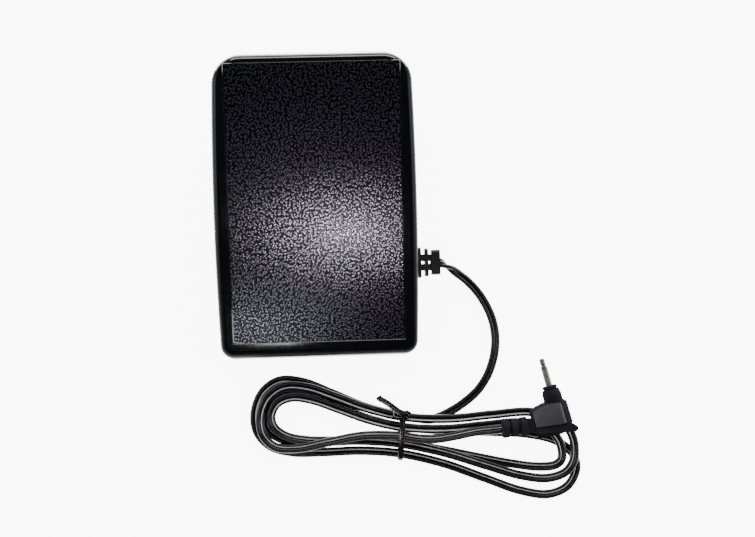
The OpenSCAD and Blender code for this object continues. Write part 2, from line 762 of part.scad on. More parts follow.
// Axial resistor lying over the board on its two bent leads.
module resistor() {
    y = board_y + board_width - 4.5;
    x = board_x + board_length / 2 - 4;
    r = 1.2;
    color([0.72, 0.55, 0.36]) {
        x_cylinder(r, x - 3.2, x + 3.2, y, board_top + r);
        x_cylinder(0.3, x - 5, x + 5, y, board_top + r);
        for (s = [-1, 1]) translate([x + s * 4.7, y, board_top]) cylinder(r = 0.3, h = r + 0.3);
    }
}
module capacitor() {
    y = board_y + 5;
    x = board_x + board_length / 2 + 1;
    color([0.75, 0.45, 0.15]) {
        translate([x, y + 1, board_top + 4.2]) rotate([90, 0, 0]) cylinder(r = 3.2, h = 2);
        for (s = [-1, 1]) translate([x + s * 2, y, board_top]) cylinder(r = 0.3, h = 3);
    }
}

module cord_clamp() {
    color([0.12, 0.12, 0.13]) difference() {
        translate([clamp_x + clamp_width / 2, exit_y, cord_high]) linear_extrude(clamp_thick)
            polygon(round_rect(clamp_width, 2 * clamp_half, 2));
        for (p = clamp_screw_spots())
            translate([p[0], p[1], cord_high - 1])
                cylinder(r = small_shank + screw_clearance, h = clamp_thick + 2);
    }
}
module clamp_screws() {
    color([0.75, 0.76, 0.78]) for (p = clamp_screw_spots())
        translate([p[0], p[1], cord_high + clamp_thick])
            small_screw(clamp_thick + boss_hole(cord_high) - screw_end_gap, -1);
}
module cord_inner() {
    color([0.03, 0.03, 0.035]) translate([inner_cord_end, exit_y, exit_height]) rotate([90, 0, 90])
        linear_extrude(boot_inside - inner_cord_end)
            polygon(round_rect(cord_width, cord_thick, cord_thick / 2 - 0.05));
}
boot_inside = tray_side_x - 2;

module rubber_foot(spot) {
    edge = 0.8;
    color([0.05, 0.05, 0.05]) translate([spot[0], spot[1], 0]) rotate_extrude() polygon(concat(
        [[0, 0]], corner(foot_radius - edge, edge, edge, -90, 0, 6), [[foot_radius, foot_height + foot_pocket],
        [0, foot_height + foot_pocket]]
    ));
}
module foot_heel_left() { rubber_foot(foot_spots[0]); }
module foot_heel_right() { rubber_foot(foot_spots[1]); }
module foot_toe_left() { rubber_foot(foot_spots[2]); }
module foot_toe_right() { rubber_foot(foot_spots[3]); }

// Strain relief: a flange inside the tray, a neck in the wall's slot, and outside it thin plates and an end
// block joined by two webs, with open slots between them.
plate_taper = 1.35;
plate_places = [0, 3.3, 6.7];
plate_thicks = [1.5, 1.8, boot_reach - 6.7];
web_width = 3.4;
web_gap = 1.4;
module boot_plate(x0, thick, width, height) {
    translate([x0, exit_y, exit_height]) rotate([90, 0, 90]) linear_extrude(thick)
        polygon(round_rect(width, height, 2));
}
module cord_boot() {
    color([0.05, 0.05, 0.055]) {
        boot_plate(boot_inside, flange_x - boot_inside, flange_width, boot_height);
        boot_plate(flange_x - eps, plate_x - flange_x + 2 * eps, neck_width, neck_height);
        boot_plate(plate_x, boot_start - plate_x + plate_thicks[0], boot_width, boot_height);
        for (k = [1, 2])
            boot_plate(boot_start + plate_places[k], plate_thicks[k], boot_width - k * plate_taper,
                boot_height - k * 0.3);
        for (s = [-1, 1])
            block(boot_start, boot_end - 1, exit_y + s * (web_gap + web_width) / 2 - web_width / 2,
                exit_y + s * (web_gap + web_width) / 2 + web_width / 2, exit_height - 2.1, exit_height + 2.1);
    }
}

// A tube through `route` with a section `w` wide and `h` high that stays level, its flat sides up and down.
function unit(v) = v / norm(v);
function section(w, h, sides) =
    let(hexagon = sides == 6, wide = hexagon ? 1 : cos(180 / sides), high = hexagon ? sin(60) : wide)
    [for (i = [0 : sides - 1]) let(a = 360 / sides * (hexagon ? i : i + 0.5))
        [w / 2 * cos(a) / wide, h / 2 * sin(a) / high]];
function heading(route, i) = unit(route[min(i + 1, len(route) - 1)] - route[max(i - 1, 0)]);
function tube_points(route, w, h, sides) = [
    for (i = [0 : len(route) - 1])
        let(t = heading(route, i), side = unit(cross(t, [0, 0, 1])), up = cross(side, t))
        for (p = section(w, h, sides)) route[i] + p[0] * side + p[1] * up
];
module tube(route, w, h, sides) {
    tube_faces(tube_points(route, w, h, sides), len(route), sides);
}

wire_thick = 1.2;
wire_z = board_top + wire_thick / 2;
core_offset = cord_width / 4;
wire_place = 19;
wire_spread = 1.6;
wire_landing = 4;
module lead_wires() {
    color([0.75, 0.12, 0.1]) for (s = [-1, 1]) {
        x = board_x + wire_place + wire_spread * s;
        tube([
            [inner_cord_end, exit_y + s * core_offset, exit_height],
            [inner_cord_end - 1.5, exit_y + s * core_offset, exit_height],
            [inner_cord_end - 4.5 + s, board_y - 5.5 + s, wire_z - 0.3],
            [x, board_y - wire_landing / 2, wire_z], [x, board_y + wire_landing, wire_z]
        ], wire_thick, wire_thick, 6);
    }
}
module pot_wires() {
    x = pot_end + wafer_thick + terminal_thick + wire_thick / 2;
    edge_y = board_y + board_width;
    wire_bend = 2;
    wire_rise = 1.5;
    color([0.75, 0.12, 0.1]) for (k = [-1, 0]) {
        rise = wire_rise * (k + 1);
        start = x - wire_bend - wire_bend * (k + 0.5);
        tube([
            [start, edge_y - wire_landing, wire_z], [start, edge_y + 1, wire_z],
            [x - wire_bend / 2 * (k + 1), edge_y + 6, wire_z + rise * 0.6], [x, edge_y + 11, wire_z + rise],
            [x, shaft_y + k * terminal_gap + terminal_half, wire_z + rise]
        ], wire_thick, wire_thick, 6);
    }
}

// Sizes of the cord's run. The hank has seven half loops about a tied waist, left and right by turns. Its x
// runs along it to the right lobe and its y to its upper side. The loops spiral in, climb a layer along a
// run, and spiral out again.
rest_gap = 0.05;
cord_z = cord_thick / 2 + rest_gap;
hank_at = [39.6, -118.2];
hank_turn = -9.8;
hank_stub = 5;
waist_out = 9.5;
waist_in = 4.2;
tie_lift = 0.7;
layer_pitch = cord_thick + 0.6;
half_rings = 12;
// Where the cord crosses the waist: [place across it, layer].
crossings = [
    [waist_out, 0], [-waist_out, 0], [waist_in, 0], [-waist_in, 0],
    [waist_in, 1], [-waist_in, 1], [waist_out, 1], [0, 2]
];
// Each half loop: [reach, upper bulge, lower bulge, sag, where a climb starts, where it ends].
lobes = [
    [75.3, 13.6, 11.2, 1, 0, 180], [92.6, 9.4, 11.9, -4.5, 0, 180], [69.3, 11.5, 8.3, -0.6, 0, 180],
    [83.8, 13.2, 3.9, -0.6, 45, 75], [66.6, 8.8, 7.1, 0.8, 0, 180], [90.2, 14.9, 10.1, 0.9, 0, 180],
    [72, 11.7, 14.6, 0, 95, 130]
];
// cos(a) sin(a)^2 is greatest at 54.7 degrees, where it is 0.385.
bulge_peak = 0.385;
function eased(t) = let(u = max(0, min(1, t))) u * u * (3 - 2 * u);
last_half = len(lobes) - 1;
hank_end = [
    hank_stub, crossings[last_half + 1][0], cord_z + tie_lift + layer_pitch * crossings[last_half + 1][1]
];

// Right-angle plug. Its own frame has +Y along the metal pin, from the root of the sleeve to the tip.
plug_at = [115.7, -95.1, 10.8];
plug_turn = 14.4;
barrel_length = 8.4;
barrel_top = 3.4;
barrel_root = 4.7;
body_left = -13;
body_right = 6.2;
body_length = 12;
shoulder = 4.8;
shoulder_drop = 1.5;
bevel_width = 4.2;
bevel_drop = 3.4;
body_back = -barrel_length - body_length;
flange_slant = 3;
flange_bar = 3.2;
flange_over = 1.7;
boot_root = [-12, -17, 0];
boot_angle = 170;
boot_length = 17.5;
boot_way = [cos(boot_angle), sin(boot_angle)];
boot_tip = [boot_root[0] + boot_length * boot_way[0], boot_root[1] + boot_length * boot_way[1], 0];
boot_ribs = [3.6, 8.2, 12.8];

// Cord on the floor, from the strain relief to the hank. The points after the first are chosen places.
lead_route = concat([[boot_end, exit_y, exit_height], [boot_end + 1, exit_y, exit_height]], [
    [67.4, -33.3, 6.9], [71.6, -36.3, 5], [76, -39.9, 3.2], [81, -45.2, 1.7], [84.7, -50.5, cord_z],
    [88.3, -58.3, cord_z], [90.1, -66.1, cord_z], [90.2, -73.9, cord_z], [88.7, -81.6, cord_z],
    [85.7, -89.2, cord_z], [80.5, -96.7, cord_z], [74.1, -102.2, cord_z], [67.8, -106.2, cord_z],
    [61.5, -109.2, cord_z], [56, -111, cord_z]
], [hank_point([11, waist_out, cord_z + 0.5]), hank_point([hank_stub + 1, waist_out, cord_z + tie_lift]),
    hank_point([hank_stub, waist_out, cord_z + tie_lift])]);
module cord_lead() {
    color([0.03, 0.03, 0.035]) tube(lead_route, cord_width, cord_thick, 8);
}

function hank_local(half, a) =
    let(lobe = lobes[half], from = crossings[half], to = crossings[half + 1], way = half % 2 == 0 ? 1 : -1,
        first = a < 90, bulge = first == (way == 1) ? lobe[1] : lobe[2])
    [
        -way * lobe[0] * sin(a),
        (first ? from[0] : -to[0]) * cos(a) + way * bulge * cos(a) * pow(sin(a), 2) / bulge_peak
            + lobe[3] * pow(sin(a), 2),
        cord_z + tie_lift * pow(abs(cos(a)), 12)
            + layer_pitch * mix(from[1], to[1], eased((a - lobe[4]) / (lobe[5] - lobe[4])))
    ];
function hank_point(p) = [
    hank_at[0] + p[0] * cos(hank_turn) - p[1] * sin(hank_turn),
    hank_at[1] + p[0] * sin(hank_turn) + p[1] * cos(hank_turn), p[2]
];
hank_path = concat(
    [[hank_stub, waist_out, cord_z + tie_lift]],
    [for (half = [0 : last_half], k = [0 : half_rings - 1]) hank_local(half, 180 * k / half_rings)],
    [hank_local(last_half, 180), hank_end]
);
module cord_hank() {
    color([0.03, 0.03, 0.035]) tube([for (p = hank_path) hank_point(p)], cord_width, cord_thick, 6);
}

// Least gap of the hank to itself, between stretches more than three cord widths apart along it. The flat
// cord lies level, so two stretches clear each other side by side or one over the other.
gap_samples = 4;
hank_samples = [for (i = [0 : len(hank_path) - 2], k = [0 : gap_samples - 1])
    mix(hank_path[i], hank_path[i + 1], k / gap_samples)];
function running(points, i = 0, sum = 0, acc = []) =
    i == len(points) ? acc
    : let(step = i + 1 < len(points) ? norm(points[i + 1] - points[i]) : 0)
    running(points, i + 1, sum + step, concat(acc, [sum]));
function stretch_gap(a, b) =
    max(norm([a[0] - b[0], a[1] - b[1]]) - cord_width, abs(a[2] - b[2]) - cord_thick);
module report_gap() {
    along = running(hank_samples);
    gaps = [for (i = [0 : len(along) - 1], j = [i + 1 : 1 : len(along) - 1])
        if (along[j] - along[i] > 3 * cord_width) stretch_gap(hank_samples[i], hank_samples[j])];
    echo(hank_length = along[len(along) - 1], least_gap = min(gaps));
}

// Last stretch, from the hank over its upper runs to the plug.
tail_route = concat([
    hank_point(hank_end), hank_point(hank_end + [1, 0, 0]), hank_point(hank_end + [5, 0, 0.1])
], [
    [58, -120.2, 7.9], [67, -119, 8.4], [76, -117, 9.2], [83, -115.6, 10]
], [plug_point([for (k = [0, 1, 2]) boot_tip[k] + (k < 2 ? 5 * boot_way[k] : 0)]), plug_point(boot_tip)]);
module cord_tail() {
    color([0.03, 0.03, 0.035]) tube(tail_route, cord_width, cord_thick, 8);
}

// Twist tie: a thin band round the waist, its knot at the upper side and a free end.
tie_width = 2.7;
tie_thick = 0.55;
tie_half = waist_out + cord_width / 2 + 0.4;
tie_shoulder = cord_z + tie_lift + layer_pitch + cord_thick / 2 + 0.4;
tie_top = hank_end[2] + cord_thick / 2 + 0.4;
tie_crown = cord_width / 2 + 1.4;
function tie_outline(out) = [
    [-tie_half - out, tie_thick - out], [tie_half + out, tie_thick - out],
    [tie_half + out, tie_shoulder + out / 2], [tie_crown + out / 2, tie_top + out],
    [-tie_crown - out / 2, tie_top + out], [-tie_half - out, tie_shoulder + out / 2]
];
tie_knot_z = tie_shoulder - 0.3;
tie_tail = [[1.4, 11], [-2.8, 12.3], [-7.6, 14.8], [-14, 17.7]];
module twist_tie() {
    color([0.04, 0.04, 0.045]) translate([hank_at[0], hank_at[1], 0]) rotate(hank_turn) {
        difference() {
            x_prism(-tie_width / 2, tie_width / 2) polygon(tie_outline(tie_thick - rest_gap));
            x_prism(-tie_width, tie_width) polygon(tie_outline(0));
        }
        tube_level(tie_tail, tie_width, 1, tie_knot_z + 0.4);
        translate([1.3, tie_half - 1.6, tie_knot_z]) rotate(12) linear_extrude(2.2)
            polygon(round_rect(2.6, 5, 1.2));
    }
}
// A flat strip along points in the plane, `thick` high from z.
module tube_level(points, w, thick, z) {
    side = [for (i = [0 : len(points) - 1])
        let(t = unit(points[min(i + 1, len(points) - 1)] - points[max(i - 1, 0)])) [-t[1], t[0]] * w / 2];
    translate([0, 0, z]) linear_extrude(thick) polygon(concat(
        [for (i = [0 : len(points) - 1]) points[i] + side[i]],
        [for (i = [len(points) - 1 : -1 : 0]) points[i] - side[i]]
    ));
}

function plug_point(p) = [
    plug_at[0] + p[0] * cos(plug_turn) - p[1] * sin(plug_turn),
    plug_at[1] + p[0] * sin(plug_turn) + p[1] * cos(plug_turn), plug_at[2] + p[2]
];
module in_plug_frame() { translate(plug_at) rotate(plug_turn) children(); }
// Turns a profile of [radius, height] about the pin's axis, its heights running to the tip.
module turned(profile) { rotate([-90, 0, 0]) rotate_extrude() polygon(profile); }
module slab(plan, low, high) { translate([0, 0, low]) linear_extrude(high - low) polygon(plan); }
// Plans of the moulding, from the barrel's left side round to the boot's side, the back and the right side.
function body_plan(right_in) = [
    [-shoulder, -barrel_length + 0.8], [body_left + 3.4, -barrel_length],
    [body_left, -barrel_length - shoulder_drop], [body_left, body_back],
    [body_right - right_in, body_back - 1], [body_right - right_in, -barrel_length - 0.4],
    [barrel_root - 0.2 - right_in / 2, -barrel_length]
];
flange_top = body_back + 2.4;
flange_end = flange_top - flange_slant;
flange_plan = [
    [body_left + 0.2, flange_top], [body_right - 0.2, flange_end],
    [body_right + flange_over, flange_end - 0.75 * flange_bar],
    [body_right + 0.7 * flange_over, flange_end - 1.2 * flange_bar],
    [body_right - 0.6, flange_end - 1.35 * flange_bar], [body_left + 0.4, flange_top - flange_bar]
];
back_plan = [
    [body_left + 0.3, body_back + 1], [body_left + 0.6, body_back - 4], [-1, body_back - 5.1],
    [body_right - 1, body_back - 4.4], [body_right - 1, body_back]
];
module plug_body() {
    color([0.1, 0.1, 0.105]) in_plug_frame() {
        turned([
            [0, -barrel_length - 1], [barrel_root, -barrel_length - 1], [barrel_root, -barrel_length],
            [barrel_top, -1.4], [barrel_top - 0.5, -1.4], [barrel_top - 0.5, -1], [barrel_top, -1],
            [barrel_top, 0], [0, 0]
        ]);
        slab(body_plan(0), -plug_thick / 2, plug_thick / 2 - bevel_drop);
        slab(body_plan(bevel_width / 2), -plug_thick / 2, plug_thick / 2 - bevel_drop / 2);
        slab(body_plan(bevel_width), -plug_thick / 2, plug_thick / 2);
        slab(flange_plan, -plug_thick / 2, plug_thick / 2 - 0.5);
        slab(back_plan, -plug_thick / 2, -plug_thick / 6);
        translate(boot_root) rotate(boot_angle) rotate([0, 90, 0]) rotate_extrude() polygon(boot_profile());
    }
}
boot_rib_r = 4.4;
boot_rib_half = 1.2;
function boot_profile() = concat([[0, -1.5], [4, -1.5]],
    [for (h = boot_ribs) each [
        [boot_core(h - boot_rib_half), h - boot_rib_half], [boot_rib_r, h - boot_rib_half + 0.3],
        [boot_rib_r, h + boot_rib_half - 0.3], [boot_core(h + boot_rib_half), h + boot_rib_half]
    ]],
    [[boot_core(boot_length), boot_length], [0, boot_length]]);
function boot_core(h) = mix(3.9, 2.7, h / boot_length);
ring_length = 0.8;
tip_length = 4.5;
tip_land = 0.6;
module plug_sleeve() {
    color([0.72, 0.71, 0.68]) in_plug_frame() rotate([-90, 0, 0]) cylinder(r = plug_radius, h = sleeve_length);
}
module plug_ring() {
    color([0.05, 0.05, 0.05]) in_plug_frame()
        turned([[0, sleeve_length], [plug_radius, sleeve_length], [plug_radius, sleeve_length + ring_length],
            [0, sleeve_length + ring_length]]);
}
module plug_tip() {
    y = sleeve_length + ring_length;
    color([0.72, 0.71, 0.68]) in_plug_frame() turned([
        [0, y], [plug_radius, y], [plug_radius, y + tip_land], [plug_radius - 0.65, y + 1.3],
        [plug_radius - 0.65, y + 1.7], [plug_radius - 0.1, y + 2.6], [0.6, y + tip_length - 0.15],
        [0.4, y + tip_length], [0, y + tip_length]
    ]);
}

report_gap();
pedal_cover();
base_tray();
hinge_rod();
return_spring_left();
return_spring_right();
drive_sector();
sector_screws();
pinion();
pot_shaft();
pot_wiper();
pot_housing();
pot_wafer();
pot_terminals();
pot_nut();
pot_washer();
pot_bracket();
bracket_screws();
circuit_board();
board_screws();
resistor();
capacitor();
cord_clamp();
clamp_screws();
cord_inner();
lead_wires();
pot_wires();
foot_heel_left();
foot_heel_right();
foot_toe_left();
foot_toe_right();
cord_boot();
cord_lead();
cord_hank();
cord_tail();
twist_tie();
plug_body();
plug_sleeve();
plug_ring();
plug_tip();
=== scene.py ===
"""Looks of a sewing machine's foot controller: camera, cords, cover, plug, tie, tray and mechanism.

Lengths are millimetres inside the builders and are scaled to metres where a mesh is made. The frame is the
part's own: origin on the floor under the middle of the cover, +Y to the high toe end, +X to the cord, +Z up.
"""

import json
import math

import bmesh
import bpy
from mathutils import Matrix, Vector


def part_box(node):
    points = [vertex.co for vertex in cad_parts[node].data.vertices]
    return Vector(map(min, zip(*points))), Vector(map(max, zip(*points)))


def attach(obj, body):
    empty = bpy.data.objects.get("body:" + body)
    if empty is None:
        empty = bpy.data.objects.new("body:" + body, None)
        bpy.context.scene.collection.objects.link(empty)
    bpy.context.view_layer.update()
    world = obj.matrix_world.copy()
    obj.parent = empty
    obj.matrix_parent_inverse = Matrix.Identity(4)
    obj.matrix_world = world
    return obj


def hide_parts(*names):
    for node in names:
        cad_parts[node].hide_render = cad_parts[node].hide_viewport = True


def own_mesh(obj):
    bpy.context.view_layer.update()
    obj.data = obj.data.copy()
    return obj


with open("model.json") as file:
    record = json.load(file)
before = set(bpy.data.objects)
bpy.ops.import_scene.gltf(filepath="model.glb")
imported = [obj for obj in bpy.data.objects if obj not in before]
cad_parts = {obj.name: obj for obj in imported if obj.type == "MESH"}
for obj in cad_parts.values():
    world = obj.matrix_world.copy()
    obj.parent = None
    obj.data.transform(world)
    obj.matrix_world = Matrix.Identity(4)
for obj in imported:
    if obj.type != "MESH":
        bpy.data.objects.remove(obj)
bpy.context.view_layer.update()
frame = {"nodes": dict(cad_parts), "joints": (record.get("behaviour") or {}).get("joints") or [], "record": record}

MM = 0.001
NODES = frame["nodes"]
JOINTS = {joint["name"]: joint for joint in frame["joints"]}

# ---------------------------------------------------------------- camera
PHOTO_WIDTH = 755
FOCAL_PX = 1086
SENSOR_WIDTH = 36
# Solved by least squares from edge points that were measured on the photograph.
CAMERA_AT = (9.44, -50.88, 560.8)
CAMERA_TURN = (1.93, -2.10, -1.68)


def make_camera():
    data = bpy.data.cameras.new("camera")
    data.sensor_width = SENSOR_WIDTH
    data.lens = FOCAL_PX * SENSOR_WIDTH / PHOTO_WIDTH
    data.clip_start = 0.01
    camera = bpy.data.objects.new("camera", data)
    bpy.context.scene.collection.objects.link(camera)
    camera.location = Vector(CAMERA_AT) * MM
    camera.rotation_euler = [math.radians(angle) for angle in CAMERA_TURN]
    bpy.context.scene.camera = camera


make_camera()


# ---------------------------------------------------------------- numbers and curves
def mix(a, b, t):
    return a + (b - a) * t


def clamp(t):
    return max(0.0, min(1.0, t))


def eased(t):
    u = clamp(t)
    return u * u * (3 - 2 * u)


def polar(radius, degrees):
    angle = math.radians(degrees)
    return radius * math.cos(angle), radius * math.sin(angle)


def catmull(points, step):
    """A smooth curve through the points, cut into pieces of about one step."""
    points = [Vector(p) for p in points]
    padded = [2 * points[0] - points[1]] + points + [2 * points[-1] - points[-2]]
    curve = []
    for i in range(1, len(padded) - 2):
        p0, p1, p2, p3 = padded[i - 1 : i + 3]
        t0 = 0.0
        t1 = t0 + math.sqrt((p1 - p0).length)
        t2 = t1 + math.sqrt((p2 - p1).length)
        t3 = t2 + math.sqrt((p3 - p2).length)
        count = max(1, round((p2 - p1).length / step))
        for k in range(count):
            t = mix(t1, t2, k / count)
            a1 = (p0 * (t1 - t) + p1 * (t - t0)) / (t1 - t0)
            a2 = (p1 * (t2 - t) + p2 * (t - t1)) / (t2 - t1)
            a3 = (p2 * (t3 - t) + p3 * (t - t2)) / (t3 - t2)
            b1 = (a1 * (t2 - t) + a2 * (t - t0)) / (t2 - t0)
            b2 = (a2 * (t3 - t) + a3 * (t - t1)) / (t3 - t1)
            curve.append((b1 * (t2 - t) + b2 * (t - t1)) / (t2 - t1))
    curve.append(points[-1])
    return curve


def lengths_along(points):
    """Distance of each point from the first, along the line."""
    total = [0.0]
    for a, b in zip(points, points[1:]):
        total.append(total[-1] + (b - a).length)
    return total


# ---------------------------------------------------------------- materials
def add(tree, kind, **inputs):
    """A new shader node with its sockets set by name, spaces written as underscores."""
    made = tree.nodes.new(kind)
    for name, value in inputs.items():
        made.inputs[name.replace("_", " ")].default_value = value
    return made


def blank_material(name):
    made = bpy.data.materials.new(name)
    made.use_nodes = True
    shader = made.node_tree.nodes["Principled BSDF"]
    return made, made.node_tree, shader


def object_coordinates(tree):
    return tree.nodes.new("ShaderNodeTexCoord").outputs["Object"]


def noise_field(tree, coordinates, scale, detail=4.0, roughness=0.55):
    made = add(tree, "ShaderNodeTexNoise", Scale=scale, Detail=detail, Roughness=roughness)
    tree.links.new(coordinates, made.inputs["Vector"])
    return made.outputs["Fac"]


def ranged(tree, value, low, high, from_low=0.3, from_high=0.7):
    made = add(tree, "ShaderNodeMapRange")
    made.inputs["From Min"].default_value = from_low
    made.inputs["From Max"].default_value = from_high
    made.inputs["To Min"].default_value = low
    made.inputs["To Max"].default_value = high
    tree.links.new(value, made.inputs["Value"])
    return made.outputs["Result"]


def ramp(tree, value, *stops):
    """A colour ramp; each stop is (place, (r, g, b))."""
    made = tree.nodes.new("ShaderNodeValToRGB")
    elements = made.color_ramp.elements
    while len(elements) < len(stops):
        elements.new(0.5)
    for element, (place, color) in zip(elements, stops):
        element.position = place
        element.color = (*color, 1)
    tree.links.new(value, made.inputs["Fac"])
    return made.outputs["Color"]


def bumped(tree, shader, height, strength, distance, under=None):
    made = add(tree, "ShaderNodeBump", Strength=strength, Distance=distance)
    tree.links.new(height, made.inputs["Height"])
    if under is not None:
        tree.links.new(under, made.inputs["Normal"])
    tree.links.new(made.outputs["Normal"], shader.inputs["Normal"])


def moulded(name, color, rough, vary=0.25, scale=900, bump=0.12, specular=0.5):
    """Plastic or rubber: cloudy colour, uneven gloss and a fine surface, all from noise."""
    made, tree, shader = blank_material(name)
    where = object_coordinates(tree)
    cloud = noise_field(tree, where, scale / 9, 3)
    grain = noise_field(tree, where, scale, 5, 0.6)
    low = tuple(c * (1 - vary) for c in color)
    high = tuple(min(1, c * (1 + vary)) for c in color)
    tree.links.new(ramp(tree, cloud, (0.3, low), (0.7, high)), shader.inputs["Base Color"])
    tree.links.new(ranged(tree, grain, rough[0], rough[1]), shader.inputs["Roughness"])
    bumped(tree, shader, grain, bump, 0.0002)
    shader.inputs["Specular IOR Level"].default_value = specular
    return made


def brushed(name, color, rough, along=(1, 40, 40), scale=120, bump=0.15):
    """Metal with fine lines: noise stretched by `along`, which is small along the lines."""
    made, tree, shader = blank_material(name)
    mapping = tree.nodes.new("ShaderNodeMapping")
    mapping.inputs["Scale"].default_value = along
    tree.links.new(object_coordinates(tree), mapping.inputs["Vector"])
    lines = noise_field(tree, mapping.outputs["Vector"], scale, 4, 0.65)
    low = tuple(c * 0.78 for c in color)
    tree.links.new(ramp(tree, lines, (0.3, low), (0.7, color)), shader.inputs["Base Color"])
    tree.links.new(ranged(tree, lines, rough[0], rough[1]), shader.inputs["Roughness"])
    bumped(tree, shader, lines, bump, 0.00008)
    shader.inputs["Metallic"].default_value = 1.0
    return made


PEBBLE_SCALE = 810
PEBBLE_DEPTH = 0.00005
PEBBLE_WANDER = 0.0012
# Pale colour painted on the pebbles' tops: a painted highlight standing in for glints.
PAINTED_GLINT = (0.013, 0.0125, 0.017)


def grained(name, color):
    """Moulded leather grain: small rounded pebbles of uneven size with glossier tops; the tops of some are painted
    pale as highlights, the valleys between them painted darker as shade.
    """
    made, tree, shader = blank_material(name)
    where = object_coordinates(tree)
    wander = noise_field(tree, where, 300, 3)
    shifted = add(tree, "ShaderNodeVectorMath")
    shifted.operation = "MULTIPLY_ADD"
    shifted.inputs[1].default_value = (PEBBLE_WANDER,) * 3
    tree.links.new(wander, shifted.inputs[0])
    tree.links.new(where, shifted.inputs[2])
    pebbles = add(tree, "ShaderNodeTexVoronoi", Scale=PEBBLE_SCALE, Randomness=1.0)
    pebbles.voronoi_dimensions = "2D"
    pebbles.feature = "SMOOTH_F1"
    pebbles.inputs["Smoothness"].default_value = 0.4
    tree.links.new(shifted.outputs["Vector"], pebbles.inputs["Vector"])
    tops = ranged(tree, pebbles.outputs["Distance"], 1.0, 0.0, 0.2, 0.62)
    middles = ranged(tree, pebbles.outputs["Distance"], 1.0, 0.0, 0.0, 0.62)
    fine = noise_field(tree, where, 2600, 4, 0.6)
    low = tuple(c * 0.5 for c in color)
    # Painted light and shade: pebble tops painted pale as highlights, the valleys between pebbles painted darker
    # as shade.
    glint_and_valley_shade = ramp(tree, middles, (0.25, low), (0.45, color), (0.85, PAINTED_GLINT))
    tree.links.new(glint_and_valley_shade, shader.inputs["Base Color"])
    tree.links.new(ranged(tree, fine, 0.17, 0.2), shader.inputs["Roughness"])
    gleam = ranged(tree, pebbles.outputs["Distance"], 0.5, 0.08, 0.2, 0.52)
    tree.links.new(gleam, shader.inputs["Specular IOR Level"])
    first = add(tree, "ShaderNodeBump", Strength=0.2, Distance=0.00001)
    tree.links.new(fine, first.inputs["Height"])
    bumped(tree, shader, tops, 0.6, PEBBLE_DEPTH, first.outputs["Normal"])
    shader.inputs["Specular Tint"].default_value = (0.9, 0.86, 1.0, 1)
    return made


STRIPE_AT = 0.545
STRIPE_HALF = 0.02


def cord_material(name):
    """Glossy black sheath with a thin pale line along one core, placed by the map's first coordinate."""
    made, tree, shader = blank_material(name)
    where = object_coordinates(tree)
    across = tree.nodes.new("ShaderNodeSeparateXYZ")
    tree.links.new(tree.nodes.new("ShaderNodeTexCoord").outputs["UV"], across.inputs["Vector"])
    offset = add(tree, "ShaderNodeMath")
    offset.operation = "SUBTRACT"
    offset.inputs[1].default_value = STRIPE_AT
    tree.links.new(across.outputs["X"], offset.inputs[0])
    away = add(tree, "ShaderNodeMath")
    away.operation = "ABSOLUTE"
    tree.links.new(offset.outputs["Value"], away.inputs[0])
    stripe = ranged(tree, away.outputs["Value"], 1.0, 0.0, STRIPE_HALF * 0.7, STRIPE_HALF * 1.3)
    cloud = noise_field(tree, where, 160, 3)
    black = ramp(tree, cloud, (0.3, (0.001, 0.001, 0.0012)), (0.7, (0.0022, 0.0022, 0.0026)))
    pale = ramp(tree, cloud, (0.25, (0.16, 0.16, 0.165)), (0.75, (0.3, 0.3, 0.305)))
    blend = tree.nodes.new("ShaderNodeMix")
    blend.data_type = "RGBA"
    tree.links.new(stripe, blend.inputs["Factor"])
    tree.links.new(black, blend.inputs["A"])
    tree.links.new(pale, blend.inputs["B"])
    tree.links.new(blend.outputs["Result"], shader.inputs["Base Color"])
    fine = noise_field(tree, where, 1400, 4)
    tree.links.new(ranged(tree, fine, 0.3, 0.4), shader.inputs["Roughness"])
    bumped(tree, shader, fine, 0.02, 0.00003)
    shader.inputs["Specular IOR Level"].default_value = 0.14
    return made


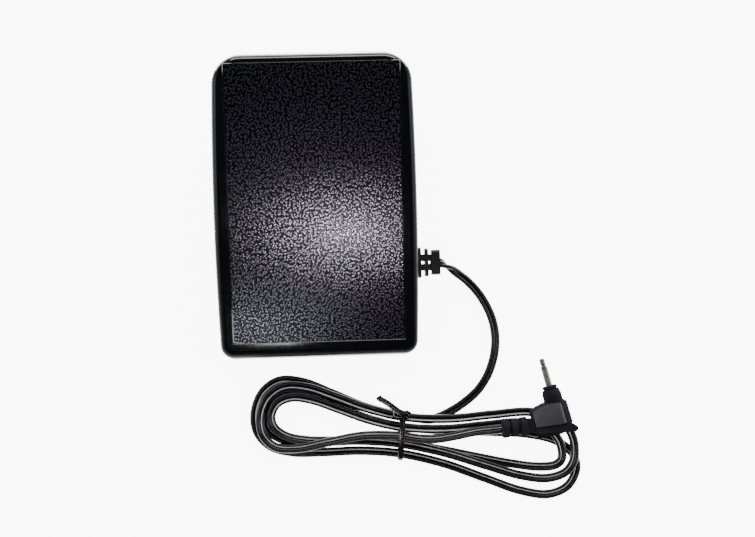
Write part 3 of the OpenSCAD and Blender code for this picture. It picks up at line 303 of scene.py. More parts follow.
MATERIALS = {
    "cover_plastic": moulded(
        "cover_plastic", (0.0012, 0.0012, 0.0022), (0.08, 0.13), 0.3, 500, 0.05, specular=0.25
    ),
    "cover_wall": moulded(
        "cover_wall", (0.0014, 0.0014, 0.0024), (0.3, 0.4), 0.3, 500, 0.05, specular=0.04
    ),
    "cover_grain": grained("cover_grain", (0.0014, 0.0014, 0.0024)),
    "base_plastic": moulded(
        "base_plastic", (0.004, 0.004, 0.0048), (0.42, 0.58), 0.25, 1300, 0.2, specular=0.06
    ),
    "steel": brushed("steel", (0.6, 0.61, 0.63), (0.2, 0.34)),
    "spring_steel": brushed("spring_steel", (0.5, 0.51, 0.53), (0.24, 0.4), (1, 1, 1), 900),
    "gear_plastic": moulded("gear_plastic", (0.78, 0.76, 0.7), (0.38, 0.5), 0.06, 700, 0.1),
    "screw_steel": brushed("screw_steel", (0.66, 0.67, 0.7), (0.18, 0.3), (1, 1, 1), 1500),
    "pot_metal": brushed("pot_metal", (0.62, 0.63, 0.65), (0.24, 0.4), (40, 1, 1)),
    "contact_brass": brushed("contact_brass", (0.78, 0.58, 0.28), (0.22, 0.38)),
    "wafer_board": moulded("wafer_board", (0.26, 0.13, 0.055), (0.45, 0.6), 0.2, 600),
    "terminal_metal": brushed("terminal_metal", (0.72, 0.7, 0.65), (0.25, 0.4)),
    "bracket_steel": brushed("bracket_steel", (0.58, 0.58, 0.6), (0.3, 0.45), (40, 40, 1)),
    "board_green": moulded("board_green", (0.02, 0.14, 0.06), (0.25, 0.4), 0.25, 800),
    "resistor_body": moulded("resistor_body", (0.55, 0.38, 0.2), (0.25, 0.4), 0.15, 900),
    "capacitor_body": moulded("capacitor_body", (0.5, 0.19, 0.03), (0.2, 0.34), 0.15, 900),
    "cord_pvc": cord_material("cord_pvc"),
    "wire_red": moulded("wire_red", (0.45, 0.02, 0.015), (0.25, 0.4), 0.15, 900),
    "foot_rubber": moulded("foot_rubber", (0.004, 0.004, 0.004), (0.6, 0.8), 0.3, 1600, 0.3, specular=0.1),
    "boot_pvc": moulded("boot_pvc", (0.0014, 0.0014, 0.0016), (0.34, 0.5), 0.3, 1400, 0.15, specular=0.15),
    "tie_plastic": moulded("tie_plastic", (0.001, 0.001, 0.0012), (0.2, 0.34), 0.3, 1000, 0.1, specular=0.35),
    "plug_pvc": moulded("plug_pvc", (0.019, 0.0186, 0.0205), (0.42, 0.54), 0.2, 1500, 0.2, specular=0.2),
    "plug_dark": moulded("plug_dark", (0.008, 0.0078, 0.0088), (0.45, 0.6), 0.3, 1500, 0.15, specular=0.0),
    "plug_metal": brushed("plug_metal", (0.075, 0.072, 0.07), (0.38, 0.52), (40, 40, 40), 60),
    "plug_insulator": moulded("plug_insulator", (0.006, 0.006, 0.006), (0.2, 0.3), 0.3, 900),
}


def paint(thing, material):
    thing.data.materials.clear()
    thing.data.materials.append(material)


# ---------------------------------------------------------------- mesh helpers
def shaded(mesh, sharp=40):
    """Smooth shading that keeps edges sharper than `sharp` degrees."""
    mesh.shade_smooth()
    mesh.set_sharp_from_angle(angle=math.radians(sharp))


def piece(name, points, faces, slot, body, replaced=(), sharp=40, material=None):
    """A mesh piece from points in millimetres. It rides on a body and takes a material slot's finish."""
    mesh = bpy.data.meshes.new(name)
    mesh.from_pydata([Vector(p) * MM for p in points], [], faces)
    mesh.validate()
    built = bmesh.new()
    built.from_mesh(mesh)
    bmesh.ops.recalc_face_normals(built, faces=built.faces)
    built.to_mesh(mesh)
    built.free()
    shaded(mesh, sharp)
    return placed(bpy.data.objects.new(name, mesh), slot, body, replaced, material)


def placed(thing, slot, body, replaced=(), material=None):
    if thing.name not in bpy.context.scene.collection.objects:
        bpy.context.scene.collection.objects.link(thing)
    paint(thing, material or MATERIALS[slot])
    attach(thing, body)
    if replaced:
        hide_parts(*replaced)
    return thing


def ring_faces(first, rings, sides, closed=False):
    """Quads between `rings` rings of `sides` points each, the first starting at point `first`."""
    faces = []
    for k in range(rings if closed else rings - 1):
        for i in range(sides):
            a, b = first + k * sides, first + (k + 1) % rings * sides
            j = (i + 1) % sides
            faces.append((a + i, a + j, b + j, b + i))
    return faces


def lathe(profile, steps=48):
    """Points and faces of a profile of (radius, height) turned about the third axis."""
    points = []
    for radius, height in profile:
        for k in range(steps):
            x, y = polar(max(radius, 1e-4), 360 * k / steps)
            points.append(Vector((x, y, height)))
    return points, ring_faces(0, len(profile), steps)


def rounded_profile(profile, radius, steps=4):
    """A profile with its corners rounded, each by at most `radius`."""
    points = [Vector((*p, 0)) for p in profile]
    out = [points[0]]
    for before, corner, after in zip(points, points[1:], points[2:]):
        into, away = corner - before, after - corner
        cut = min(radius, into.length * 0.45, away.length * 0.45)
        if cut < 1e-5 or into.angle(away, 0) < 0.05:
            out.append(corner)
            continue
        start, end = corner - into.normalized() * cut, corner + away.normalized() * cut
        for k in range(steps + 1):
            t = k / steps
            out.append(start * (1 - t) ** 2 + corner * 2 * t * (1 - t) + end * t * t)
    out.append(points[-1])
    return [(p.x, p.y) for p in out]


def rounded_rect(width, height, radius, steps=6):
    """Outline of a rectangle with round corners, centred on the origin."""
    outline = []
    for sx, sy, start in ((1, 1, 0), (-1, 1, 90), (-1, -1, 180), (1, -1, 270)):
        for k in range(steps + 1):
            x, y = polar(radius, start + 90 * k / steps)
            outline.append((sx * (width / 2 - radius) + x, sy * (height / 2 - radius) + y))
    return outline


def path_frames(points, rolls=None):
    """For each point of a path: the point, its level sideways vector and its upward one, rolled if asked."""
    frames = []
    for i, here in enumerate(points):
        ahead = (points[min(i + 1, len(points) - 1)] - points[max(i - 1, 0)]).normalized()
        side = ahead.cross(Vector((0, 0, 1))).normalized()
        up = side.cross(ahead)
        if rolls is not None:
            angle = math.radians(rolls[i])
            c, s = math.cos(angle), math.sin(angle)
            side, up = side * c + up * s, up * c - side * s
        frames.append((here, side, up))
    return frames


def swept(name, points, section, slot, body, replaced=(), rolls=None, caps=True, map_shift=None):
    """A section swept along a path. `map_shift`, one a ring, asks for a map: across, then along."""
    sides = len(section)
    vertices = []
    for here, side, up in path_frames(points, rolls):
        vertices.extend(here + side * x + up * y for x, y in section)
    faces = ring_faces(0, len(points), sides)
    if caps:
        end = (len(points) - 1) * sides
        faces.append(tuple(range(sides)))
        faces.append(tuple(range(end, end + sides)))
    made = piece(name, vertices, faces, slot, body, replaced)
    if map_shift is not None:
        layer = made.data.uv_layers.new(name="map")
        for polygon in made.data.polygons:
            corners = [made.data.loops[k].vertex_index for k in polygon.loop_indices]
            wraps = any(v % sides == 0 for v in corners) and any(v % sides == sides - 1 for v in corners)
            shift = map_shift[min(corners) // sides]
            for loop, vertex in zip(polygon.loop_indices, corners):
                across = vertex % sides
                if wraps and across == 0:
                    across = sides
                layer.data[loop].uv = (across / sides + shift, vertex // sides / len(points))
    return made


# ---------------------------------------------------------------- cord
CORD_WIDTH = 4.6
CORD_THICK = 2.3
REST_GAP = 0.05
CORD_Z = CORD_THICK / 2 + REST_GAP
TIE_LIFT = 0.7
LAYER_PITCH = CORD_THICK + 0.6
HANK_TOP = CORD_Z + TIE_LIFT + 2 * LAYER_PITCH
HANK_AT = (39.6, -118.2)
HANK_TURN = -9.8
HANK_STUB = 5
WAIST_OUT = 9.5
WAIST_IN = 4.2
BULGE_PEAK = 0.385
# Where the cord crosses the waist: (place across it, layer).
CROSSINGS = [
    (WAIST_OUT, 0), (-WAIST_OUT, 0), (WAIST_IN, 0), (-WAIST_IN, 0),
    (WAIST_IN, 1), (-WAIST_IN, 1), (WAIST_OUT, 1), (0, 2),
]
# Each half loop: (reach, upper bulge, lower bulge, sag, where a climb starts, where it ends).
# The first four of each came from a search program fitted to the photograph, as did HANK_AT and HANK_TURN.
# They are no values chosen by hand.
LOBES = [
    (75.3, 13.6, 11.2, 1, 0, 180), (92.6, 9.4, 11.9, -4.5, 0, 180), (69.3, 11.5, 8.3, -0.6, 0, 180),
    (83.8, 13.2, 3.9, -0.6, 45, 75), (66.6, 8.8, 7.1, 0.8, 0, 180), (90.2, 14.9, 10.1, 0.9, 0, 180),
    (72, 11.7, 14.6, 0, 95, 130),
]
RINGS_A_LOOP = 24
EXIT = (62.1419, -30.5, 8.5)
PLUG_AT = (115.7, -95.1, 10.8)
PLUG_TURN = 14.4
BOOT_ROOT = (-12, -17)
BOOT_ANGLE = 170
BOOT_LENGTH = 17.5


def hank_point(x, y, z):
    turned = Matrix.Rotation(math.radians(HANK_TURN), 2) @ Vector((x, y))
    return Vector((HANK_AT[0] + turned.x, HANK_AT[1] + turned.y, z))


def hank_local(half, degrees):
    reach, upper, lower, sag, start, end = LOBES[half]
    before, after = CROSSINGS[half], CROSSINGS[half + 1]
    way = 1 if half % 2 == 0 else -1
    first = degrees < 90
    bulge = upper if first == (way == 1) else lower
    cosine, sine = math.cos(math.radians(degrees)), math.sin(math.radians(degrees))
    across = (before[0] if first else -after[0]) * cosine + way * bulge * cosine * sine**2 / BULGE_PEAK
    climb = LAYER_PITCH * mix(before[1], after[1], eased((degrees - start) / (end - start)))
    return -way * reach * sine, across + sag * sine**2, CORD_Z + TIE_LIFT * abs(cosine) ** 12 + climb


def hank_route():
    points = [hank_point(HANK_STUB, WAIST_OUT, CORD_Z + TIE_LIFT)]
    per_half = RINGS_A_LOOP // 2
    for half in range(len(LOBES)):
        points += [hank_point(*hank_local(half, 180 * k / per_half)) for k in range(per_half)]
    points.append(hank_point(*hank_local(len(LOBES) - 1, 180)))
    return points + [hank_point(HANK_STUB, 0, HANK_TOP)]



def plug_point(x, y, z=0):
    turned = Matrix.Rotation(math.radians(PLUG_TURN), 2) @ Vector((x, y))
    return Vector((PLUG_AT[0] + turned.x, PLUG_AT[1] + turned.y, PLUG_AT[2] + z))


def boot_point(along):
    x, y = polar(along, BOOT_ANGLE)
    return plug_point(BOOT_ROOT[0] + x, BOOT_ROOT[1] + y)


# The first points lie inside the strain relief's block, so that the cord leaves it at its own slant.
LEAD_ROUTE = [
    (EXIT[0] - 5, EXIT[1] + 0.2, EXIT[2]), (EXIT[0] - 2, EXIT[1] + 0.05, EXIT[2]), (62.6, -30.9, 8.4),
    (64.4, -31.9, 8), (67.4, -33.6, 6.9), (71.6, -36.6, 5), (76, -40, 3.2), (81, -45.2, 1.7),
    (84.7, -50.6, CORD_Z), (88.3, -58.3, CORD_Z), (90.1, -66.1, CORD_Z), (90.2, -73.9, CORD_Z),
    (88.7, -81.6, CORD_Z), (85.7, -89.2, CORD_Z), (80.5, -96.7, CORD_Z), (74.1, -102.2, CORD_Z),
    (67.8, -106.2, CORD_Z), (61.5, -109.2, CORD_Z), (56, -111, CORD_Z),
]
TAIL_ROUTE = [(58, -120.2, 7.9), (67, -119, 8.4), (76, -117.3, 9.3), (81.5, -116.6, 10.2)]
cord_route = (
    [Vector(p) for p in LEAD_ROUTE]
    + [hank_point(11, WAIST_OUT, CORD_Z + 0.5), hank_point(HANK_STUB + 1, WAIST_OUT, CORD_Z + TIE_LIFT)]
    + hank_route()
    + [hank_point(HANK_STUB + 1, 0, HANK_TOP), hank_point(HANK_STUB + 5, 0, HANK_TOP + 0.1)]
    + [Vector(p) for p in TAIL_ROUTE]
    + [boot_point(BOOT_LENGTH + 5), boot_point(BOOT_LENGTH)]
)


def twin_section(width, thick, web=0.95, steps=11, opening=38):
    """Two round cores side by side with a thin web between them. It starts at the right core's lower side."""
    core = thick / 2
    half = []
    for k in range(steps + 1):
        x, y = polar(core, mix(-180 + opening, 180 - opening, k / steps))
        half.append((width / 2 - core + x, y))
    return half + [(0, web / 2)] + [(-x, -y) for x, y in half] + [(0, -web / 2)]


CORD_STEP = 1.0
cord_path = catmull(cord_route, CORD_STEP)
cord_along = lengths_along(cord_path)
TWIST_START = 5
TWIST_LENGTH = 15
TIE_BEFORE = 200


def make_cord():
    """The cord turns over by the strain relief, so its stripe lies underneath as far as the tie."""
    waist = hank_point(0, WAIST_OUT, CORD_Z + TIE_LIFT)
    near = [((p - waist).length, along) for along, p in zip(cord_along, cord_path) if along < TIE_BEFORE]
    tie_at = min(near)[1]
    rolls = [180 * (1 - (1 - clamp((along - TWIST_START) / TWIST_LENGTH)) ** 2) for along in cord_along]
    half_round = [0.5 if along > tie_at else 0.0 for along in cord_along]
    return swept(
        "cord", cord_path, twin_section(CORD_WIDTH, CORD_THICK), "cord_pvc", "base",
        ("cord_lead", "cord_hank", "cord_tail"), rolls=rolls, map_shift=half_round,
    )


cord = make_cord()


# ---------------------------------------------------------------- cover
PEDAL_LENGTH = 154
PEDAL_WIDTH = 101.5
SIDE_BOW = 1.3
TOE_TAPER = 0.5
TOE_HEIGHT = 40
HEEL_HEIGHT = 18.5
CROWN = 4.5
TOE_RADIUS = 15
HEEL_RADIUS = 7.5
EDGE_ROUND = 4
WALL = 2.2
SKIRT_HEEL = 4
SKIRT_TOE = 16
SIDE_DRAFT = 0.9
TOE_SLOPE = 4.5
FIELD_WIDTH = 86
TOE_RIM = 10
HEEL_RIM = 8.1
FIELD_RAISE = 0.4
HALF_L = PEDAL_LENGTH / 2
HALF_W = PEDAL_WIDTH / 2


def top_z(y):
    t = y / HALF_L
    return (TOE_HEIGHT + HEEL_HEIGHT) / 2 + CROWN + (TOE_HEIGHT - HEEL_HEIGHT) / 2 * t - CROWN * t * t


def skirt_z(y):
    return mix(SKIRT_HEEL, SKIRT_TOE, (y + HALF_L) / PEDAL_LENGTH)


def side_x(y):
    t = y / HALF_L
    return HALF_W - SIDE_BOW * t * t - TOE_TAPER * t


def half_outline(inset, toe_in=0.0, toe_steps=16, side_steps=40, heel_steps=12):
    """The cover's plan from the middle of the toe corner to the heel corner on the +X side."""
    toe_r, heel_r = max(TOE_RADIUS - inset, 2), max(HEEL_RADIUS - inset, 2)
    toe_y = HALF_L - inset - toe_in - toe_r
    heel_y = -HALF_L + inset + heel_r
    toe_x, heel_x = side_x(toe_y) - inset - toe_r, side_x(heel_y) - inset - heel_r
    outline = []
    for k in range(toe_steps + 1):
        x, y = polar(toe_r, 90 - 90 * k / toe_steps)
        outline.append((toe_x + x, toe_y + y))
    for k in range(1, side_steps):
        y = mix(toe_y, heel_y, k / side_steps)
        outline.append((side_x(y) - inset, y))
    for k in range(heel_steps + 1):
        x, y = polar(heel_r, -90 * k / heel_steps)
        outline.append((heel_x + x, heel_y + y))
    return outline


def plan_ring(half, height):
    """A closed ring from a half outline and its mirror image, at the height of each y."""
    both = half + [(-x, y) for x, y in reversed(half)]
    return [(x, y, height(y)) for x, y in both]


def closed_skin(rings):
    """Points and faces of stacked rings whose first and last are closed by strips from side to side."""
    sides = len(rings[0])
    points = [p for ring in rings for p in ring]
    faces = ring_faces(0, len(rings), sides)
    for first in (0, (len(rings) - 1) * sides):
        for i in range(sides // 2 - 1):
            faces.append((first + i, first + i + 1, first + sides - 2 - i, first + sides - 1 - i))
    return points, faces


SKIRT_LIP = 0.35
INNER_ROUND = 2.0


def cover_rings():
    """From the ceiling under the arch, down the inner wall, round the skirt's edge and up to the top."""
    rings = []
    for k in range(5):
        angle = math.radians(mix(90, 0, k / 4))
        inset = WALL + SIDE_DRAFT + INNER_ROUND * (1 - math.cos(angle))
        drop = WALL + INNER_ROUND * (1 - math.sin(angle))
        rings.append(plan_ring(half_outline(inset, TOE_SLOPE - 0.4), lambda y, drop=drop: top_z(y) - drop))
    rings.append(plan_ring(half_outline(WALL), lambda y: skirt_z(y) + SKIRT_LIP))
    rings.append(plan_ring(half_outline(WALL - SKIRT_LIP), skirt_z))
    rings.append(plan_ring(half_outline(SKIRT_LIP), skirt_z))
    rings.append(plan_ring(half_outline(0.02), lambda y: skirt_z(y) + SKIRT_LIP))
    steps = 12
    for k in range(steps + 1):
        angle = math.radians(90 * k / steps)
        inset = SIDE_DRAFT + EDGE_ROUND * (1 - math.cos(angle))
        drop = EDGE_ROUND * (1 - math.sin(angle))
        rings.append(plan_ring(half_outline(inset, TOE_SLOPE), lambda y, drop=drop: top_z(y) - drop))
    return rings


NOTCH_SIDE = 1.6
BOOT_WIDTH = 15.6
BOOT_HEIGHT = 7
BOOT_CLEAR = 0.8
EXIT_Y = EXIT[1]


def cut_away(thing, points, faces):
    """Takes a closed shape out of a piece."""
    mesh = bpy.data.meshes.new("cutter")
    mesh.from_pydata([Vector(p) * MM for p in points], [], faces)
    cutter = bpy.data.objects.new("cutter", mesh)
    bpy.context.scene.collection.objects.link(cutter)
    modifier = thing.modifiers.new("cut", "BOOLEAN")
    modifier.object = cutter
    modifier.operation = "DIFFERENCE"
    modifier.solver = "EXACT"
    apply_modifiers(thing)
    bpy.data.objects.remove(cutter)


def apply_modifiers(thing):
    """Replaces a piece's mesh by what its modifiers make of it."""
    seen = thing.evaluated_get(bpy.context.evaluated_depsgraph_get())
    made = bpy.data.meshes.new_from_object(seen)
    thing.modifiers.clear()
    thing.data = made


# Faces steeper than STEEP take the duller wall finish, and short of the toe corner all but the flat ones do.
STEEP = 0.2
NEARLY_FLAT = 0.93
SHINE_PAST_CORNER = 6


def make_cover():
    points, faces = closed_skin(cover_rings())
    cover = piece("cover_shell", points, faces, "cover_plastic", "cover", sharp=35)
    notch_half = BOOT_WIDTH / 2 + NOTCH_SIDE
    notch_top = notch_height()
    outline = rounded_rect(2 * notch_half, 2 * notch_top, 2)
    count = len(outline)
    cutter = [(x, EXIT_Y + a, b) for x in (HALF_W - 6, HALF_W + 6) for a, b in outline]
    sides = ring_faces(0, 2, count) + [tuple(reversed(range(count))), tuple(range(count, 2 * count))]
    cut_away(cover, cutter, sides)
    shaded(cover.data, 35)
    cover.data.materials.append(MATERIALS["cover_wall"])
    corner_y = (HALF_L - TOE_SLOPE - TOE_RADIUS + SHINE_PAST_CORNER) * MM
    for polygon in cover.data.polygons:
        slope = polygon.normal.z
        if slope < STEEP or slope < NEARLY_FLAT and polygon.center.y < corner_y:
            polygon.material_index = 1
    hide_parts("pedal_cover")


def notch_height():
    """Top of the cover's notch over the strain relief, which leaves room for the pedal's travel."""
    hinge_y = JOINTS["cover_hinge"]["pos_m"][1] / MM
    travel = math.radians(JOINTS["cover_hinge"]["range_deg"][1])
    swing = (EXIT_Y + NOTCH_SIDE + BOOT_WIDTH / 2 - hinge_y) * math.sin(travel)
    return EXIT[2] + BOOT_HEIGHT / 2 + swing + BOOT_CLEAR


def make_cover_field():
    """Raised grained panel on the arch, with a small glossy bevel round it."""
    y0, y1 = -HALF_L + HEEL_RIM, HALF_L - TOE_RIM
    middle, corner, steps = (y0 + y1) / 2, 1.0, 6

    def half(inset):
        w, h, r = FIELD_WIDTH / 2 - inset, (y1 - y0) / 2 - inset, max(corner - inset, 0.3)
        toe = [polar(r, 90 - 90 * k / steps) for k in range(steps + 1)]
        heel = [polar(r, -90 * k / steps) for k in range(steps + 1)]
        outline = [(w - r + x, middle + h - r + y) for x, y in toe]
        outline += [(w, mix(middle + h - r, middle - h + r, k / 60)) for k in range(1, 60)]
        return outline + [(w - r + x, middle - h + r + y) for x, y in heel]

    def ring(inset, lift):
        return plan_ring(half(inset), lambda y: top_z(y) + lift)

    edge = 0.3
    bottom = ring(0, -1.0)
    rings = [bottom, ring(0, 0.05), ring(edge, FIELD_RAISE), ring(edge + 0.6, FIELD_RAISE)]
    points, faces = closed_skin(rings)
    field = piece("cover_field", points, faces, "cover_plastic", "cover", sharp=25)
    field.data.materials.append(MATERIALS["cover_grain"])
    inside = FIELD_WIDTH / 2 - edge - 0.01
    for polygon in field.data.polygons:
        if polygon.normal.z > 0.9 and all(
            abs(field.data.vertices[v].co.x) <= inside * MM + 1e-6 for v in polygon.vertices
        ):
            polygon.material_index = 1


def inner_parts_of_cover():
    """Ears, cups, hooks and pad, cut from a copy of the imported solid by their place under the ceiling."""
    thing = bpy.data.objects.new("cover_inside", NODES["pedal_cover"].data.copy())
    built = bmesh.new()
    built.from_mesh(thing.data)
    skin = []
    for face in built.faces:
        c = face.calc_center_median() / MM
        room = side_x(c.y) - WALL - SIDE_DRAFT - 0.12
        under = c.z < top_z(c.y) - WALL - 0.12
        inside = abs(c.x) < room and under and -HALF_L + WALL < c.y < HALF_L - WALL - 0.3
        if not inside or c.y > HALF_L - WALL - TOE_SLOPE and c.z > top_z(c.y) - WALL - 2:
            skin.append(face)
    bmesh.ops.delete(built, geom=skin, context="FACES")
    bmesh.ops.remove_doubles(built, verts=built.verts, dist=1e-6)
    built.to_mesh(thing.data)
    built.free()
    shaded(thing.data, 35)
    placed(thing, "cover_plastic", "cover", ("pedal_cover",), MATERIALS["base_plastic"])


make_cover()
make_cover_field()
inner_parts_of_cover()


# ---------------------------------------------------------------- plug
def in_plug(points):
    """Points of the plug's own frame, +Y to the tip, in the part's frame."""
    return [plug_point(p[0], p[1], p[2]) for p in points]


def turned_on_pin(profile):
    """A profile of (radius, place along the pin) turned about the pin."""
    points, faces = lathe(profile, 40)
    return [(p.x, p.z, p.y) for p in points], faces


def drawn_in(outline, inset):
    """An outline listed clockwise or not, each point moved inwards by `inset`."""
    area = sum(a[0] * b[1] - b[0] * a[1] for a, b in zip(outline, outline[1:] + outline[:1]))
    way = 1 if area > 0 else -1
    moved = []
    for before, here, after in zip(outline[-1:] + outline[:-1], outline, outline[1:] + outline[:1]):
        along = Vector((after[0] - before[0], after[1] - before[1])).normalized()
        moved.append((here[0] - way * along.y * inset, here[1] + way * along.x * inset))
    return moved


def rounded_slab(plan, low, high, radius, edge, steps=4):
    """A slab whose plan's corners are rounded by `radius` and whose upper and lower edges by `edge`."""
    outline = rounded_polygon(plan, radius)
    rings = []
    for k in range(2 * steps + 2):
        upper = k > steps
        angle = math.radians(90 * (k - upper) / steps)
        inset = edge * (1 - math.sin(angle))
        z = low + edge * (1 - math.cos(angle)) if not upper else high - edge * (1 + math.cos(angle))
        rings.append([(x, y, z) for x, y in drawn_in(outline, inset)])
    count = len(outline)
    points = [p for ring in rings for p in ring]
    last = (len(rings) - 1) * count
    caps = [tuple(reversed(range(count))), tuple(range(last, last + count))]
    return points, ring_faces(0, len(rings), count) + caps


def rounded_polygon(corners, radius, steps=5):
    """An outline of straight sides with its corners rounded, listed the same way round as the corners."""
    closed = rounded_profile([corners[-1]] + corners + [corners[0]], radius, steps)
    return closed[1:-1]


def joined(*parts):
    """Several (points, faces) in one."""
    points, faces = [], []
    for some, more in parts:
        faces += [tuple(v + len(points) for v in face) for face in more]
        points += list(some)
    return points, faces


PLUG_THICK = 10.6
BODY_LEFT = -13
BODY_RIGHT = 6.2
BODY_BACK = -17.6
FACE_RIGHT = 2.0


def body_plan(right, inset=0.0):
    """The moulding's plan, from the barrel's left side round past the cord's side and the back."""
    return [
        (-4.7 + inset * 0.4, -7.6 - inset), (-9.5, -8.5 - inset), (BODY_LEFT + inset, -9.9 - inset * 0.5),
        (BODY_LEFT + inset, BODY_BACK), (right - inset, BODY_BACK - 2.1 - 0.3 * (right - FACE_RIGHT)),
        (right - inset, -8.9 - inset),
        (right - 1.6, -8.4 - inset),
    ]


def stacked(layers, radius, steps=4):
    """A solid through plans of as many corners, each (plan, height), the plans' corners rounded."""
    rings = [[(x, y, z) for x, y in rounded_polygon(plan, radius, steps)] for plan, z in layers]
    count = len(rings[0])
    points = [p for ring in rings for p in ring]
    last = (len(rings) - 1) * count
    caps = [tuple(reversed(range(count))), tuple(range(last, last + count))]
    return points, ring_faces(0, len(rings), count) + caps


def make_plug():
    barrel = rounded_profile([
        (0, 0.02), (2.5, 0.02), (3.7, 0), (3.75, -1.1), (3.3, -1.15), (3.3, -1.7), (4.1, -1.8),
        (4.45, -2.7), (4.85, -4.6), (4.85, -11), (0, -11),
    ], 0.25)
    half = PLUG_THICK / 2
    body = stacked([
        (body_plan(BODY_RIGHT, 0.9), -half), (body_plan(BODY_RIGHT, 0.3), -half + 0.25),
        (body_plan(BODY_RIGHT), -half + 0.9), (body_plan(BODY_RIGHT), half - 3.6),
        (body_plan(BODY_RIGHT - 0.25), half - 3.1), (body_plan(BODY_RIGHT - 2, 0.02), half - 1.6),
        (body_plan(FACE_RIGHT + 0.5, 0.06), half - 0.35), (body_plan(FACE_RIGHT, 0.2), half - 0.06),
        (body_plan(FACE_RIGHT - 0.3, 0.45), half),
    ], 0.9)
    flange = [(-12.8, -17.9), (6, -20.9), (7.9, -23.2), (7.5, -24.9), (5.6, -25.3), (-12.6, -21.2)]
    back = [(-12.7, -19.5), (-12.4, -24.4), (-1, -25.5), (5.2, -24.9), (5.2, -20)]
    step = [(BODY_LEFT + 0.3, -17), (-12.6, -19.5), (5, -21.5), (5, -18)]
    points, faces = joined(
        body,
        rounded_slab(flange, -half, half - 1.1, 1.5, 0.6),
        rounded_slab(back, -half, -half / 3, 1.2, 0.6),
        rounded_slab(step, -half, half - 2.2, 0.5, 0.3),
    )
    moulding = piece("plug_moulding", in_plug(points), faces, "plug_pvc", "base", ("plug_body",), sharp=38)
    moulding.data.materials.append(MATERIALS["plug_dark"])
    face_z = (PLUG_AT[2] + half - 0.9) * MM
    for polygon in moulding.data.polygons:
        if polygon.normal.z < 0.9 or polygon.center.z < face_z:
            polygon.material_index = 1
    points, faces = turned_on_pin(barrel)
    neck = piece(
        "plug_neck", in_plug(points), faces, "plug_pvc", "base", ("plug_body",), sharp=38,
        material=MATERIALS["plug_dark"],
    )
    return [moulding, neck]


BOOT_RIBS = (6.4, 11.1, 15.8)


def boot_core(along):
    return mix(3.9, 3.0, along / BOOT_LENGTH)


def make_plug_boot():
    """Ribbed strain relief of the plug: oval rings on a tapering core."""
    profile = [(0, -1.5), (boot_core(-1.5), -1.5)]
    for rib in BOOT_RIBS:
        start, end = rib - 1.75, rib + 1.75
        profile += [(boot_core(start), start), (4.75, rib - 1.5), (4.85, rib + 1.5), (boot_core(end), end)]
    profile += [(boot_core(BOOT_LENGTH), BOOT_LENGTH), (2.1, BOOT_LENGTH + 0.02), (0, BOOT_LENGTH + 0.02)]
    points, faces = lathe(rounded_profile(profile, 0.35, 3), 36)
    turn = Matrix.Rotation(math.radians(BOOT_ANGLE), 3, "Z")
    local = []
    for p in points:
        along = turn @ Vector((p.z, p.x, p.y))
        local.append((BOOT_ROOT[0] + along.x, BOOT_ROOT[1] + along.y, along.z))
    return piece(
        "plug_boot", in_plug(local), faces, "plug_pvc", "base", ("plug_body",), sharp=38,
        material=MATERIALS["plug_dark"],
    )


SLEEVE_LENGTH = 9.2
PIN_RADIUS = 1.7
RING_LENGTH = 0.8
TIP_RADIUS = 1.3
TIP_LENGTH = 4.4


def make_pin():
    """Sleeve, insulating ring and slim flat-ended tip, turned about the pin."""
    ring_start = SLEEVE_LENGTH + 0.01
    ring_radius = PIN_RADIUS - 0.05
    ring_end = SLEEVE_LENGTH + RING_LENGTH
    tip_end = ring_end + TIP_LENGTH
    sleeve = [(0, -0.5), (PIN_RADIUS, -0.5), (PIN_RADIUS, SLEEVE_LENGTH), (0, SLEEVE_LENGTH)]
    ring = [(0, ring_start), (ring_radius, ring_start), (ring_radius, ring_end), (0, ring_end)]
    tip = [
        (0, ring_end + 0.01), (TIP_RADIUS + 0.3, ring_end + 0.01), (TIP_RADIUS + 0.3, ring_end + 0.4),
        (TIP_RADIUS - 0.1, ring_end + 0.7), (TIP_RADIUS - 0.1, ring_end + 1.1),
        (TIP_RADIUS + 0.1, ring_end + 1.5), (TIP_RADIUS, tip_end - 0.3), (TIP_RADIUS - 0.3, tip_end),
        (0, tip_end),
    ]
    profiles = (
        ("pin_sleeve", "plug_metal", "plug_sleeve", sleeve),
        ("pin_ring", "plug_insulator", "plug_ring", ring),
        ("pin_tip", "plug_metal", "plug_tip", tip),
    )
    made = []
    for name, slot, node, profile in profiles:
        points, faces = turned_on_pin(rounded_profile(profile, 0.15))
        made.append(piece(name, in_plug(points), faces, slot, "base", (node,), sharp=30))
    return made


plug_pieces = [*make_plug(), make_plug_boot(), *make_pin()]


# ---------------------------------------------------------------- twist tie
TIE_WIDTH = 2.7
TIE_THICK = 0.5
TIE_GAP = 0.4


def tie_section(width=TIE_WIDTH, thick=TIE_THICK, wire=0.95):
    """A flat strip with a round wire along its middle."""
    half, flat, core = width / 2, thick / 2, wire / 2
    upper = [(half, 0), (half - 0.12, flat), (core + 0.15, flat)]
    upper += [polar(core, a) for a in (50, 90, 130)]
    upper += [(-core - 0.15, flat), (-half + 0.12, flat), (-half, 0)]
    return upper + [(x, -y) for x, y in reversed(upper[1:-1])]


